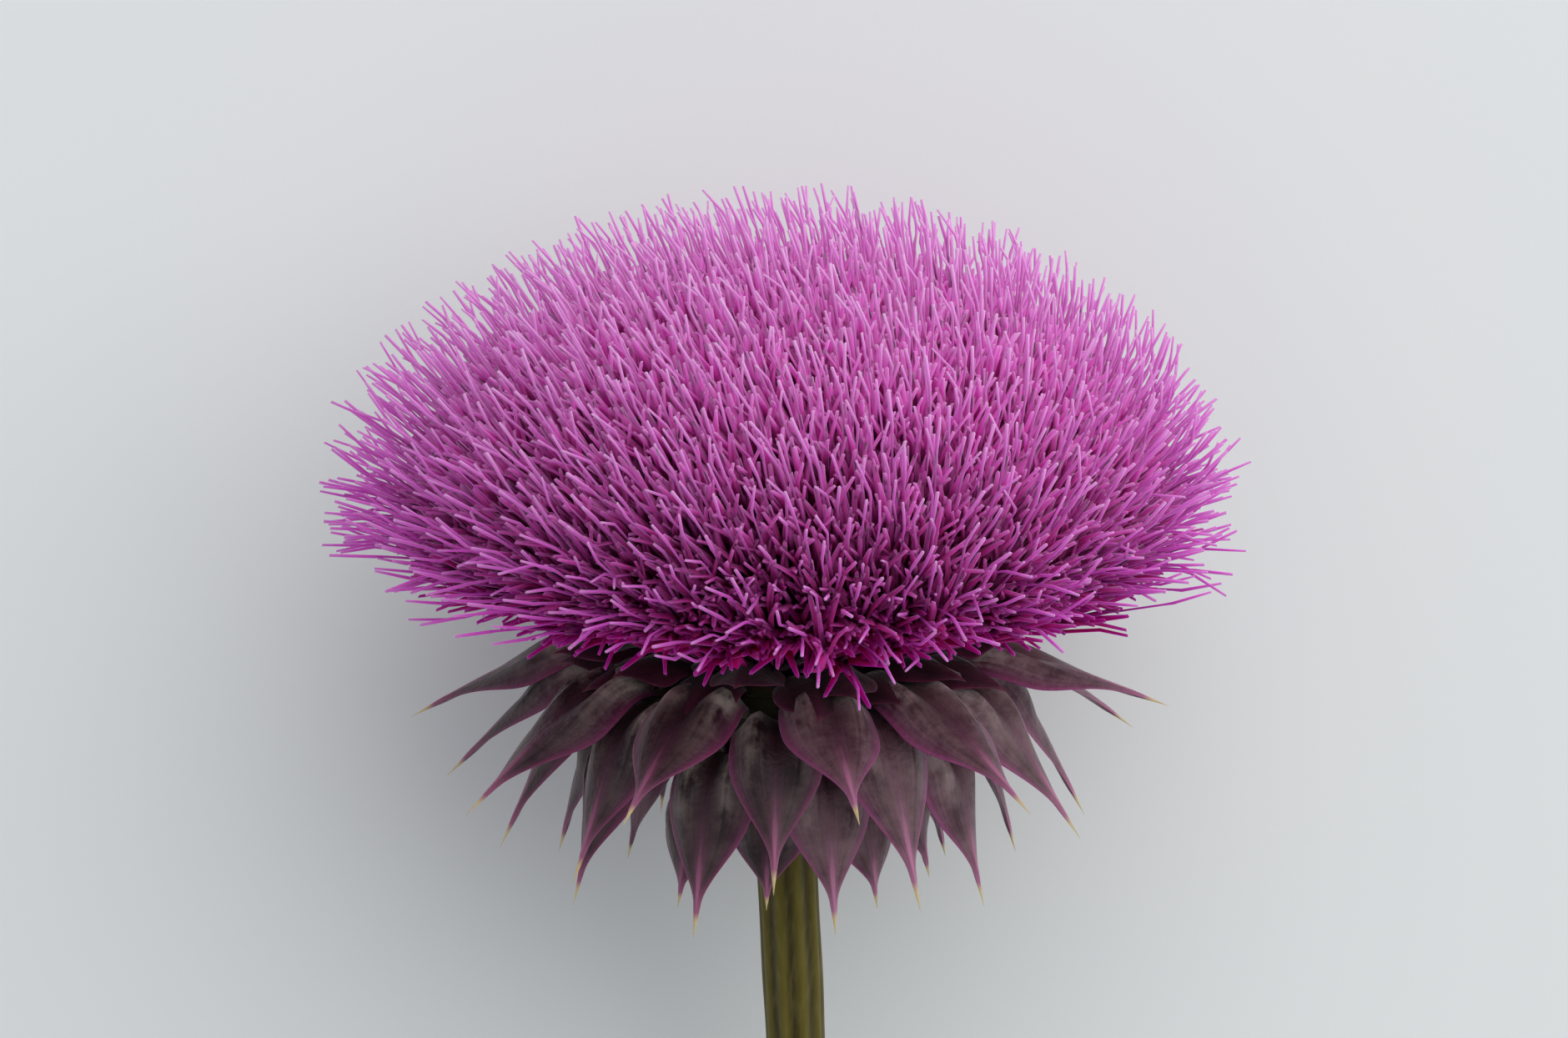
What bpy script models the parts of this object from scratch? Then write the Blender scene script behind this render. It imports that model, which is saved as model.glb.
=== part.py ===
"""Musk thistle flower head with a short cut stem, lying on its side on a flat surface.

The flower is built upright around its own axis, +Z towards the florets, and hung under one
empty that lays it down.  It rests on two places: the soft florets at the rim, pressed into a
small flat patch, and the lower edge of the stem's cut end.

Run with: blender --background --python part.py
"""
import math
import random

import bmesh
import bpy
from mathutils import Matrix, Vector

MM = 0.001

# ---------------------------------------------------------------- driving dimensions, in mm
TILT = math.radians(19.0)        # the flower's axis above the surface that it lies on
JOINT_GAP = 0.3                  # clear space between pieces that touch

DOME_RADIUS = 39.3               # the floret tips' envelope is half a flattened ball
DOME_HEIGHT = 22.7
DOME_CENTRE = 7.1                # height of the widest level above the flower's origin
RIM_LEVEL = -1.0                 # where the envelope turns in under the outermost florets
FLORET_BASE_RADIUS = 11.3        # the disc that the florets stand on
FLORET_BASE_LEVEL = -8.3
PATCH_DEPTH = 1.5                # how far the lowest florets are pressed flat

CORE_RADIUS = (4.0, 14.0)        # the middle cluster, at its base and at the envelope
INNER_RADIUS = (7.6, 27.0)       # the ring of clusters round it, the same two radii
INNER_CLUSTERS = 5
OUTER_CLUSTERS = 8
RING_GAP = 0.6                   # between one ring of clusters and the next
CLUSTER_SIDES = 36               # facets round the whole head
TOP_STEPS = 2                    # facets down the envelope of the core and the inner ring
RIM_STEPS = 6                    # and of the outer ring

CUP_PROFILE = (                  # radius and height down the involucre's cup
    (10.6, -8.6),
    (11.5, -9.6),
    (11.7, -11.4),
    (11.3, -14.0),
    (10.2, -16.8),
    (8.0, -19.8),
    (5.2, -22.3),
    (3.5, -24.2),
)
CUP_SIDES = 32

STEM_RADIUS_TOP = 2.75
STEM_RADIUS_END = 2.55
STEM_TOP = CUP_PROFILE[-1][1] - JOINT_GAP
STEM_RIBS = 9
STEM_GROOVE_DEPTH = 0.3
STEM_BOW = 1.3                   # sideways bow of the stem between its ends

BRACT_THICKNESS = 0.85
BRACT_STATIONS = 10              # sections along a bract
BRACT_SUBSTEPS = 4               # steps walked between two sections
WIDEST_SHARE = 0.44              # where a bract is broadest, as a share of its length
ROOT_WIDTH = 0.56                # width at the root over the greatest width
SPINE_WIDTH = 0.09               # width where the spine starts
SPINE_SHARE = 0.14               # last part of a bract's length, drawn out into its spine
BLADE_SAG = (0.6, 1.3)           # how far the margins fall below the midrib, root and blade
BLADE_SECTION = (                # across and up, in half widths and half thicknesses
    (-1.0, 0.0), (-0.5, 0.8), (0.0, 1.0), (0.5, 0.8), (1.0, 0.0), (0.5, -0.8), (0.0, -1.0), (-0.5, -0.8),
)
BRACT_ROLL = math.radians(6.0)   # most that a blade rolls about its own midrib

# Heading is the angle of the bract's back above level, walking out from the cup.  Azimuth 0
# is the flower's front, -Y, and grows towards +X.  Each bract has its azimuth, its length over
# the tier's and its lift, which is how many degrees less it droops than the tier.  Those
# underneath, past about 130 degrees, are short and curl in, clear of the surface.
BRACT_TIERS = {
    "upper": {
        "root": (12.1, -10.9), "length": 23.5, "width": 8.3, "headings": (46.0, -20.0),
        "bend": 0.36, "droop": 16.0,
        "bracts": (
            (-98, 1.00, 0), (-56, 1.00, -8), (-24, 0.95, 0), (11, 0.93, 2),
            (38, 0.98, 0), (82, 0.97, 11), (109, 1.05, -8), (134, 0.98, 10),
            (158, 0.87, -10), (-174, 0.85, -11), (-148, 0.88, -9), (-123, 0.98, -2),
        ),
    },
    "middle": {
        "root": (11.9, -13.5), "length": 22.5, "width": 8.0, "headings": (56.0, -60.0),
        "bend": 0.50, "droop": 6.0,
        "bracts": (
            (-94, 1.03, 18), (-71, 1.00, 0), (-44, 0.99, -1), (-2, 0.91, 0),
            (25, 1.06, 0), (65, 1.00, 10), (95, 1.04, 1), (122, 1.00, 3),
            (149, 0.90, -8), (177, 0.86, -11), (-152, 0.88, -9), (-124, 0.98, 2),
        ),
    },
    "lower": {
        "root": (10.9, -16.6), "length": 21.0, "width": 7.7, "headings": (52.0, -72.0),
        "bend": 0.48, "droop": 4.0,
        "bracts": (
            (-90, 0.85, 0), (-59, 0.97, 0), (-21, 0.98, 0), (12, 0.94, 0),
            (55, 0.95, 0), (103, 0.98, 0), (133, 0.93, -4), (162, 0.87, -10),
            (-168, 0.85, -9), (-143, 0.88, -7), (-118, 0.90, -3),
        ),
    },
    "lowest": {
        "root": (8.7, -19.7), "length": 13.4, "width": 6.8, "headings": (40.0, -75.0),
        "bend": 0.45, "droop": 3.0,
        "bracts": (
            (-38, 0.97, 0), (-6, 0.90, 0), (33, 0.95, 0), (64, 0.85, 0),
            (106, 1.00, 0), (150, 0.95, 0), (-165, 0.95, 0), (-118, 1.15, 0),
        ),
    },
}

FLORET_PURPLE = (0.45, 0.06, 0.38, 1.0)
BRACT_PLUM = (0.05, 0.022, 0.035, 1.0)
CUP_GREEN = (0.10, 0.12, 0.05, 1.0)
STEM_GREEN = (0.16, 0.18, 0.05, 1.0)


# ---------------------------------------------------------------- small helpers
def clear_scene() -> None:
    for old in list(bpy.data.objects):
        bpy.data.objects.remove(old, do_unlink=True)


def make_material(name, colour, roughness):
    material = bpy.data.materials.new(name)
    material.use_nodes = True
    shader = material.node_tree.nodes["Principled BSDF"]
    shader.inputs["Base Color"].default_value = colour
    shader.inputs["Roughness"].default_value = roughness
    shader.inputs["Metallic"].default_value = 0.0
    return material


def polar(radius, azimuth, height):
    """A point at an azimuth counted from the front, -Y, towards +X."""
    return Vector((radius * math.sin(azimuth), -radius * math.cos(azimuth), height))


def smooth_step(value):
    clamped = min(max(value, 0.0), 1.0)
    return clamped * clamped * (3.0 - 2.0 * clamped)


def loft(rings, end_tip=None):
    """A closed body through equal rings of points: a flat cap first, then a cap or a tip."""
    bm = bmesh.new()
    loops = [[bm.verts.new(point) for point in ring] for ring in rings]
    count = len(rings[0])
    for near, far in zip(loops, loops[1:]):
        for i in range(count):
            j = (i + 1) % count
            bm.faces.new((near[i], near[j], far[j], far[i]))
    bm.faces.new(loops[0])
    if end_tip is None:
        bm.faces.new(loops[-1])
    else:
        apex = bm.verts.new(end_tip)
        for i in range(count):
            bm.faces.new((loops[-1][i], loops[-1][(i + 1) % count], apex))
    bmesh.ops.recalc_face_normals(bm, faces=bm.faces)
    return bm


def add_piece(name, bm, material, parent):
    """Turn a body in mm into an object in metres, shaded smooth over its shallow edges."""
    bmesh.ops.scale(bm, vec=(MM, MM, MM), verts=bm.verts)
    mesh = bpy.data.meshes.new(name)
    bm.to_mesh(mesh)
    bm.free()
    mesh.shade_smooth()
    mesh.set_sharp_from_angle(angle=math.radians(40.0))
    mesh.materials.append(material)
    piece = bpy.data.objects.new(name, mesh)
    piece.parent = parent
    bpy.context.collection.objects.link(piece)
    return piece


# ---------------------------------------------------------------- how the flower lies
def surface_height() -> float:
    """Height of the flower's origin above the surface, in mm, with the rim pressed flat."""
    reach = math.hypot(DOME_RADIUS * math.cos(TILT), DOME_HEIGHT * math.sin(TILT))
    return reach - DOME_CENTRE * math.sin(TILT) - PATCH_DEPTH


def surface_normal():
    """The surface's upward direction, in the flower's own axes."""
    return Vector((0.0, -math.cos(TILT), math.sin(TILT)))


def stem_end_level() -> float:
    """Level of the cut end whose lower edge just touches the surface."""
    return -(surface_height() - STEM_RADIUS_END * math.cos(TILT)) / math.sin(TILT)


# ---------------------------------------------------------------- florets
def envelope(level_angle):
    """Radius and height on the tips' envelope; 0 is the top, 90 degrees is the widest level."""
    radius = DOME_RADIUS * math.sin(level_angle)
    return radius, DOME_CENTRE + DOME_HEIGHT * math.cos(level_angle)


def envelope_arc(first_radius, last_angle, steps):
    first_angle = math.asin(first_radius / DOME_RADIUS)
    span = last_angle - first_angle
    return [envelope(first_angle + span * i / steps) for i in range(steps + 1)]


def core_cluster():
    """The upright florets in the middle of the head."""
    limit = math.asin(CORE_RADIUS[1] / DOME_RADIUS)
    crown = envelope_arc(CORE_RADIUS[1] / (TOP_STEPS + 1), limit, TOP_STEPS)
    levels = [(CORE_RADIUS[0], FLORET_BASE_LEVEL)] + crown[::-1]
    rings = [[polar(radius, math.tau * i / CLUSTER_SIDES, height) for i in range(CLUSTER_SIDES)]
             for radius, height in levels]
    return loft(rings, end_tip=(0.0, 0.0, DOME_CENTRE + DOME_HEIGHT))


def cluster_wedge(profile, middle, count):
    """A sector of the dome, moved out along its middle to stand clear of its neighbours."""
    steps = round(CLUSTER_SIDES / count)
    half = math.pi / count
    shift = polar(0.5 * JOINT_GAP / math.sin(half), middle, 0.0)
    rings = []
    for step in range(steps + 1):
        azimuth = middle - half + 2.0 * half * step / steps
        rings.append([polar(radius, azimuth, height) + shift for radius, height in profile])
    return loft(rings)


def inner_profile():
    """Half-section of the inner ring: base, inner slope, top arc and outer slope."""
    limit = math.asin(INNER_RADIUS[1] / DOME_RADIUS)
    arc = envelope_arc(CORE_RADIUS[1] + RING_GAP, limit, TOP_STEPS)
    return ([(CORE_RADIUS[0] + RING_GAP, FLORET_BASE_LEVEL)] + arc
            + [(INNER_RADIUS[0], FLORET_BASE_LEVEL)])


def outer_profile():
    """Half-section of the outer ring, whose underside rises in a cone to the rim."""
    limit = math.acos((RIM_LEVEL - DOME_CENTRE) / DOME_HEIGHT)
    arc = envelope_arc(INNER_RADIUS[1] + RING_GAP, limit, RIM_STEPS)
    return ([(INNER_RADIUS[0] + RING_GAP, FLORET_BASE_LEVEL)] + arc
            + [(FLORET_BASE_RADIUS, FLORET_BASE_LEVEL)])


def press_flat(bm):
    """Trim what would go below the surface, which leaves the flat patch the head rests on."""
    normal = surface_normal()
    cut = bmesh.ops.bisect_plane(
        bm, geom=bm.verts[:] + bm.edges[:] + bm.faces[:], dist=0.001,
        plane_co=-normal * surface_height(), plane_no=normal, clear_inner=True)
    rim = [item for item in cut["geom_cut"] if isinstance(item, bmesh.types.BMEdge)]
    bmesh.ops.holes_fill(bm, edges=rim, sides=0)
    bmesh.ops.recalc_face_normals(bm, faces=bm.faces)


def add_florets(parent, material):
    add_piece("florets_core", core_cluster(), material, parent)
    for i in range(INNER_CLUSTERS):
        middle = math.tau * i / INNER_CLUSTERS
        wedge = cluster_wedge(inner_profile(), middle, INNER_CLUSTERS)
        add_piece(f"florets_inner_{i + 1}", wedge, material, parent)
    for i in range(OUTER_CLUSTERS):
        middle = math.tau * i / OUTER_CLUSTERS
        wedge = cluster_wedge(outer_profile(), middle, OUTER_CLUSTERS)
        if 2 * i == OUTER_CLUSTERS:
            press_flat(wedge)
        add_piece(f"florets_outer_{i + 1}", wedge, material, parent)


# ---------------------------------------------------------------- bracts
def bract_half_width(share):
    """Half width over the greatest width: narrow at the root, broad, then drawn to a spine."""
    blade_end = 1.0 - SPINE_SHARE
    if share < WIDEST_SHARE:
        swell = math.sin(0.5 * math.pi * share / WIDEST_SHARE)
        return 0.5 * (ROOT_WIDTH + (1.0 - ROOT_WIDTH) * swell)
    if share < blade_end:
        left = (blade_end - share) / (blade_end - WIDEST_SHARE)
        return 0.5 * (SPINE_WIDTH + (1.0 - SPINE_WIDTH) * smooth_step(left) ** 0.8)
    return 0.5 * SPINE_WIDTH * (1.0 - share) / SPINE_SHARE


def bract_path(tier, length, lift):
    """Points and headings from the root, over the shoulder and down to the spine."""
    start, after_bend = (math.radians(angle) for angle in tier["headings"])
    point = Vector((tier["root"][0], tier["root"][1]))
    total = BRACT_STATIONS * BRACT_SUBSTEPS
    path = []
    for i in range(total + 1):
        share = i / total
        heading = start + (after_bend + lift - start) * smooth_step(share / tier["bend"])
        heading -= math.radians(tier["droop"]) * max(0.0, share - tier["bend"])
        if i % BRACT_SUBSTEPS == 0:
            path.append((point.copy(), heading, share))
        point += Vector((math.cos(heading), math.sin(heading))) * length / total
    return path


def bract_body(tier, azimuth, length, lift, roll):
    """A leathery blade, hollow towards the cup, thick at the midrib and thin at the margins."""
    outward = polar(1.0, azimuth, 0.0)
    sideways = Vector((math.cos(azimuth), math.sin(azimuth), 0.0))
    rings = []
    path = bract_path(tier, length, lift)
    for point, heading, share in path[:-1]:
        back = outward * -math.sin(heading) + Vector((0.0, 0.0, math.cos(heading)))
        turn = roll * smooth_step(share)
        across = sideways * math.cos(turn) + back * math.sin(turn)
        away = back * math.cos(turn) - sideways * math.sin(turn)
        middle = outward * point.x + Vector((0.0, 0.0, point.y))
        half = tier["width"] * bract_half_width(share)
        sag = BLADE_SAG[0] + (BLADE_SAG[1] - BLADE_SAG[0]) * smooth_step(share)
        fall = sag * (2.0 * half / tier["width"]) ** 2
        thick = 0.5 * BRACT_THICKNESS * (1.0 - 0.45 * share)
        rings.append([
            middle + across * half * side + away * (thick * level - fall * side * side)
            for side, level in BLADE_SECTION])
    tip = path[-1][0]
    return loft(rings, end_tip=outward * tip.x + Vector((0.0, 0.0, tip.y)))


def add_bracts(parent, material):
    """Make every tier's bracts, each with a small roll of its own."""
    rng = random.Random(7)
    for name, tier in BRACT_TIERS.items():
        for number, (degrees, stretch, lift) in enumerate(tier["bracts"], start=1):
            roll = rng.uniform(-BRACT_ROLL, BRACT_ROLL)
            body = bract_body(tier, math.radians(degrees), tier["length"] * stretch,
                              math.radians(lift), roll)
            add_piece(f"bract_{name}_{number:02d}", body, material, parent)


# ---------------------------------------------------------------- cup and stem
def cup_body():
    """The solid head of the stem, wide under the florets and narrowing to the stem."""
    rings = [[polar(radius, math.tau * i / CUP_SIDES, height) for i in range(CUP_SIDES)]
             for radius, height in CUP_PROFILE]
    return loft(rings)


def stem_body():
    """A ribbed stem, a little bowed, cut square at its end."""
    levels = 12
    sides = 2 * STEM_RIBS
    end = stem_end_level()
    rings = []
    for level in range(levels + 1):
        share = level / levels
        height = STEM_TOP + (end - STEM_TOP) * share
        radius = STEM_RADIUS_TOP + (STEM_RADIUS_END - STEM_RADIUS_TOP) * share
        bow = Vector((STEM_BOW * math.sin(math.pi * share), 0.0, 0.0))
        ring = []
        for side in range(sides):
            groove = 0.0 if side % 2 else STEM_GROOVE_DEPTH
            ring.append(polar(radius - groove, math.tau * side / sides, height) + bow)
        rings.append(ring)
    return loft(rings)


# ---------------------------------------------------------------- assembly
def lay_down(axis):
    """Tilt the flower back and set it down, lowest point at 0, centred in X and Y."""
    axis.matrix_world = Matrix.Rotation(TILT - math.radians(90.0), 4, "X")
    bpy.context.view_layer.update()
    corners = [piece.matrix_world @ vertex.co
               for piece in axis.children for vertex in piece.data.vertices]
    low = [min(corner[i] for corner in corners) for i in range(3)]
    high = [max(corner[i] for corner in corners) for i in range(3)]
    axis.location = (-0.5 * (low[0] + high[0]), -0.5 * (low[1] + high[1]), -low[2])
    bpy.context.view_layer.update()


def main() -> None:
    clear_scene()
    axis = bpy.data.objects.new("flower_axis", None)
    bpy.context.collection.objects.link(axis)
    add_florets(axis, make_material("magenta_florets", FLORET_PURPLE, 0.75))
    add_bracts(axis, make_material("plum_bracts", BRACT_PLUM, 0.5))
    add_piece("involucre_cup", cup_body(), make_material("cup_flesh", CUP_GREEN, 0.6), axis)
    add_piece("stem", stem_body(), make_material("woolly_stem", STEM_GREEN, 0.7), axis)
    lay_down(axis)


main()
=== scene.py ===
"""A musk thistle flower head in full bloom, picked and laid on its side in soft studio light.

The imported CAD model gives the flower's place.  Everything here is modelled upright round the
flower's own axis, in millimetres, and is laid down and turned to metres as the last step of its
making, so each finished object sits at the origin with its place in its mesh.
"""
from __future__ import annotations

import logging
import math
import random
from dataclasses import dataclass
from enum import Enum

import bpy
import numpy as np
from mathutils import Matrix, Vector


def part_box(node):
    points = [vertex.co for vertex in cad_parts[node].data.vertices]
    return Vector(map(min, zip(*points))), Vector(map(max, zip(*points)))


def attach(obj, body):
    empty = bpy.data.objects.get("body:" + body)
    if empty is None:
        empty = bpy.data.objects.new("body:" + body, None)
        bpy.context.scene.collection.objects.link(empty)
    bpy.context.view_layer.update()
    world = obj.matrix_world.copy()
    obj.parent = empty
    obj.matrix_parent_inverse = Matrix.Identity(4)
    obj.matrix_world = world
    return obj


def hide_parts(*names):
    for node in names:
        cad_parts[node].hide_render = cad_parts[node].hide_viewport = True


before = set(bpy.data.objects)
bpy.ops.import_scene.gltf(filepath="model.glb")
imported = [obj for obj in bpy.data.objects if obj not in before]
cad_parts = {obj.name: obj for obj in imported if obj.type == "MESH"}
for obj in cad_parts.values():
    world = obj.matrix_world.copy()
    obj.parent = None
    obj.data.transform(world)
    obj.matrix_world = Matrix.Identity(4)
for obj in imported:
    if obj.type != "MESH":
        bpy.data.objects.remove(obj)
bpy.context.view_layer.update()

MM = 0.001
PATTERN_MAP = "OFBake"  # the map that the finishes are painted on
CAP_BAND = 0.04         # the first and last part of that map, kept for a piece's two end faces
CAP_FILL = 0.45         # radius of an end face on the map, over that band's height
STEM_RIBS = 9
LOG = logging.getLogger("thistle")

# What the commonest shader nodes are set to.
COLOURS = {"data_type": "RGBA"}
PRODUCT = {"operation": "MULTIPLY"}
SUM = {"operation": "ADD"}
SCALED = {"operation": "MULTIPLY_ADD"}


class Slot(Enum):
    """The record's material slots."""

    FLORET = "floret"
    BRACT = "bract"
    INVOLUCRE = "involucre"
    STEM = "stem"


class Tier(Enum):
    """The tiers of bracts that stand free, from the florets down to the stem."""

    UPPER = "upper"
    MIDDLE = "middle"
    LOWER = "lower"
    LOWEST = "lowest"


class Band(Enum):
    """Where a floret's parts lie on the pattern map's second coordinate."""

    TUBE = (0.0, 0.30)
    LOBE = (0.32, 0.60)
    ANTHERS = (0.62, 0.75)
    STYLE = (0.77, 1.0)


# ---------------------------------------------------------------- small helpers
def linear(code: str) -> tuple[float, float, float, float]:
    """Turn an sRGB hex colour into the linear colour that a shader takes.

    Args:
        code: Six hex digits after a #.

    Returns:
        Linear red, green, blue and an alpha of 1.
    """
    channels = [int(code[i:i + 2], 16) / 255.0 for i in (1, 3, 5)]
    red, green, blue = (
        c / 12.92 if c <= 0.04045 else ((c + 0.055) / 1.055) ** 2.4 for c in channels)
    return red, green, blue, 1.0


def smooth_step(value: np.ndarray | float) -> np.ndarray | float:
    """Ease from 0 to 1, flat at both ends."""
    clamped = np.clip(value, 0.0, 1.0)
    return clamped * clamped * (3.0 - 2.0 * clamped)


def polar(radius: float, azimuth: float, height: float) -> np.ndarray:
    """Give a point at an azimuth counted from the front, -Y, towards +X."""
    return np.array((radius * math.sin(azimuth), -radius * math.cos(azimuth), height))


def unit(vector: np.ndarray) -> np.ndarray:
    """Give the vector's direction, with length 1."""
    return vector / np.linalg.norm(vector)


def feed(node: bpy.types.Node, name: str | int, value: object) -> None:
    """Link or set one input of a shader node.

    Args:
        node: The node.
        name: The input's name or number.
        value: A socket, a node for its first output in use, a hex colour or a plain value.
    """
    if isinstance(value, bpy.types.Node):
        value = next(output for output in value.outputs if output.enabled)
    if isinstance(value, bpy.types.NodeSocket):
        node.id_data.links.new(value, node.inputs[name])
    else:
        node.inputs[name].default_value = linear(value) if isinstance(value, str) else value


def add_node(tree: bpy.types.NodeTree, kind: str, settings: dict | None = None,
             inputs: dict | None = None) -> bpy.types.Node:
    """Add one shader node with its settings, and link or set its inputs.

    Args:
        tree: The material's or the world's node tree.
        kind: The node's type after "ShaderNode", such as "Mix".
        settings: Attributes to set; "stops" holds a colour ramp's (place, hex colour) pairs.
        inputs: Input name or number to anything that feed takes.

    Returns:
        The new node.
    """
    node = tree.nodes.new("ShaderNode" + kind)
    for name, value in (settings or {}).items():
        if name != "stops":
            setattr(node, name, value)
            continue
        ramp = node.color_ramp.elements
        while len(ramp) < len(value):
            ramp.new(1.0)
        for element, (place, code) in zip(ramp, value):
            element.position = place
            element.color = linear(code)
    for name, value in (inputs or {}).items():
        feed(node, name, value)
    return node


def new_material(name: str, **constants: float | tuple[float, ...],
                 ) -> tuple[bpy.types.Material, bpy.types.Node]:
    """Make a material with a Principled shader.

    Args:
        name: The material's name.
        **constants: Shader sockets to set, with _ for each space in the socket's name.

    Returns:
        The material and its shader.
    """
    material = bpy.data.materials.new(name)
    material.use_nodes = True
    shader = material.node_tree.nodes["Principled BSDF"]
    for socket, value in constants.items():
        shader.inputs[socket.replace("_", " ")].default_value = value
    return material, shader


def read_points(piece: bpy.types.Object) -> np.ndarray:
    """Give a mesh object's vertices.

    Args:
        piece: The object.

    Returns:
        The vertices as rows of an array.
    """
    flat = np.empty(len(piece.data.vertices) * 3)
    piece.data.vertices.foreach_get("co", flat)
    return flat.reshape(-1, 3)


def write_points(piece: bpy.types.Object, points: np.ndarray) -> None:
    """Move a mesh object's vertices to the rows of an array."""
    piece.data.vertices.foreach_set("co", np.ascontiguousarray(points, float).ravel())
    piece.data.update()


def angle_round(points: np.ndarray) -> np.ndarray:
    """Give the azimuths of points, counted from the front, -Y, towards +X."""
    return np.arctan2(points[:, 0], -points[:, 1])


@dataclass(frozen=True)
class Ring:
    """One section of a rod: its level, its two half widths and its sideways shift."""

    level: float
    wide: float
    deep: float
    shift: float = 0.0


def extrude_rod(name: str, rings: list[Ring], sides: int) -> bpy.types.Object:
    """Extrude a closed rod up from a disc, ring by ring.

    Args:
        name: The object's name.
        rings: The sections, from the lowest up.
        sides: Vertices round it.

    Returns:
        The rod, in object mode, alone selected and active.
    """
    bpy.ops.object.select_all(action="DESELECT")
    bpy.ops.mesh.primitive_circle_add(vertices=sides, radius=1.0, fill_type="NGON")
    rod = bpy.context.active_object
    rod.name = rod.data.name = name
    first = rings[0]
    bpy.ops.object.mode_set(mode="EDIT")
    bpy.ops.mesh.select_all(action="SELECT")
    bpy.ops.transform.resize(value=(first.wide, first.deep, 1.0))
    bpy.ops.transform.translate(value=(0.0, first.shift, first.level))
    for low, high in zip(rings, rings[1:]):
        step = (0.0, high.shift - low.shift, high.level - low.level)
        bpy.ops.mesh.extrude_region_move(TRANSFORM_OT_translate={"value": step})
        bpy.ops.transform.resize(value=(high.wide / low.wide, high.deep / low.deep, 1.0),
                                 center_override=(0.0, high.shift, high.level))
    bpy.ops.mesh.select_all(action="SELECT")
    bpy.ops.mesh.normals_make_consistent(inside=False)
    bpy.ops.mesh.faces_shade_smooth()
    bpy.ops.object.mode_set(mode="OBJECT")
    return rod


def paint_map(piece: bpy.types.Object, around: np.ndarray, along: np.ndarray,
              mirrored: bool = False) -> None:
    """Lay the pattern map on a rod, its sides between the bands of its two end faces.

    Args:
        piece: The rod.
        around: For each vertex its place around the section, from 0 up to but not reaching 1.
        along: For each vertex its place along the rod, from 0 to 1.
        mirrored: True where the map goes out and back again round the section.
    """
    for old in list(piece.data.uv_layers):
        piece.data.uv_layers.remove(old)
    layer = piece.data.uv_layers.new(name=PATTERN_MAP)
    low, high = along.min(), along.max()
    band = CAP_BAND * (high - low)
    for face in piece.data.polygons:
        corners = [piece.data.loops[i].vertex_index for i in face.loop_indices]
        across = [around[corner] for corner in corners]
        wraps = not mirrored and max(across) - min(across) > 0.5 and len(corners) == 4
        levels = [along[corner] for corner in corners]
        if max(levels) - min(levels) < 1e-6:
            centre = low + 0.5 * band if levels[0] < 0.5 * (low + high) else high - 0.5 * band
            for i, place in zip(face.loop_indices, across):
                turn = math.tau * place
                layer.data[i].uv = (0.5 + CAP_FILL * math.cos(turn),
                                    centre + CAP_FILL * band * math.sin(turn))
            continue
        for i, place, level in zip(face.loop_indices, across, levels):
            share = (level - low) / (high - low)
            layer.data[i].uv = (place + (1.0 if wraps and place < 0.5 else 0.0),
                                low + band + share * (high - low - 2.0 * band))


def finish_piece(piece: bpy.types.Object, material: bpy.types.Material,
                 replaced: tuple[str, ...] = ()) -> None:
    """Dress a piece, hang it on the flower's one body and hide the CAD nodes that it stands for.

    Args:
        piece: The finished piece, laid in its place.
        material: Its finish.
        replaced: The CAD nodes that the piece is shown instead of.
    """
    piece.data.materials.clear()
    piece.data.materials.append(material)
    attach(piece, "root")
    if replaced:
        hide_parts(*replaced)
    LOG.info("%s: %d faces", piece.name, len(piece.data.polygons))


# ---------------------------------------------------------------- how the flower lies
@dataclass(frozen=True)
class Lie:
    """The flower's place: its axis leans back, and it rests on its rim and its cut end.

    The cup's outline is kept here, because its box in the CAD model gives the place.
    """

    tilt: float = math.radians(19.0)
    cup_radii: tuple[float, ...] = (10.6, 11.5, 11.7, 11.3, 10.2, 8.0, 5.2, 3.5)
    cup_levels: tuple[float, ...] = (-8.6, -9.6, -11.4, -14.0, -16.8, -19.8, -22.3, -24.2)

    def origin(self) -> np.ndarray:
        """Find the flower's origin from where the CAD cup's box ends.

        Returns:
            The origin in millimetres.
        """
        radii, levels = np.array(self.cup_radii), np.array(self.cup_levels)
        highest = np.array(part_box("involucre_cup")[1]) / MM
        reach_y = (levels * math.cos(self.tilt) + radii * math.sin(self.tilt)).max()
        reach_z = (levels * math.sin(self.tilt) + radii * math.cos(self.tilt)).max()
        return np.array((0.0, highest[1] - reach_y, highest[2] - reach_z))

    def turn(self) -> np.ndarray:
        """Give the rotation that lays the flower down."""
        return np.array(Matrix.Rotation(self.tilt - math.radians(90.0), 3, "X"))

    def lay(self, points: np.ndarray) -> np.ndarray:
        """Take upright points in millimetres to their place in metres."""
        return (points @ self.turn().T + self.origin()) * MM

    def keep_above(self, points: np.ndarray, clear: float, softness: float) -> np.ndarray:
        """Press points that would sink into the surface flat against it, softly.

        Args:
            points: Upright points in millimetres.
            clear: The least height left over the surface.
            softness: Over how many millimetres the pressing begins.

        Returns:
            The points, lifted where they were low.
        """
        heights = (points @ self.turn().T)[:, 2] + self.origin()[2]
        lifted = softness * np.logaddexp(0.0, (heights - clear) / softness) + clear
        upward = self.turn().T @ np.array((0.0, 0.0, 1.0))
        return points + np.outer(lifted - heights, upward)


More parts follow.
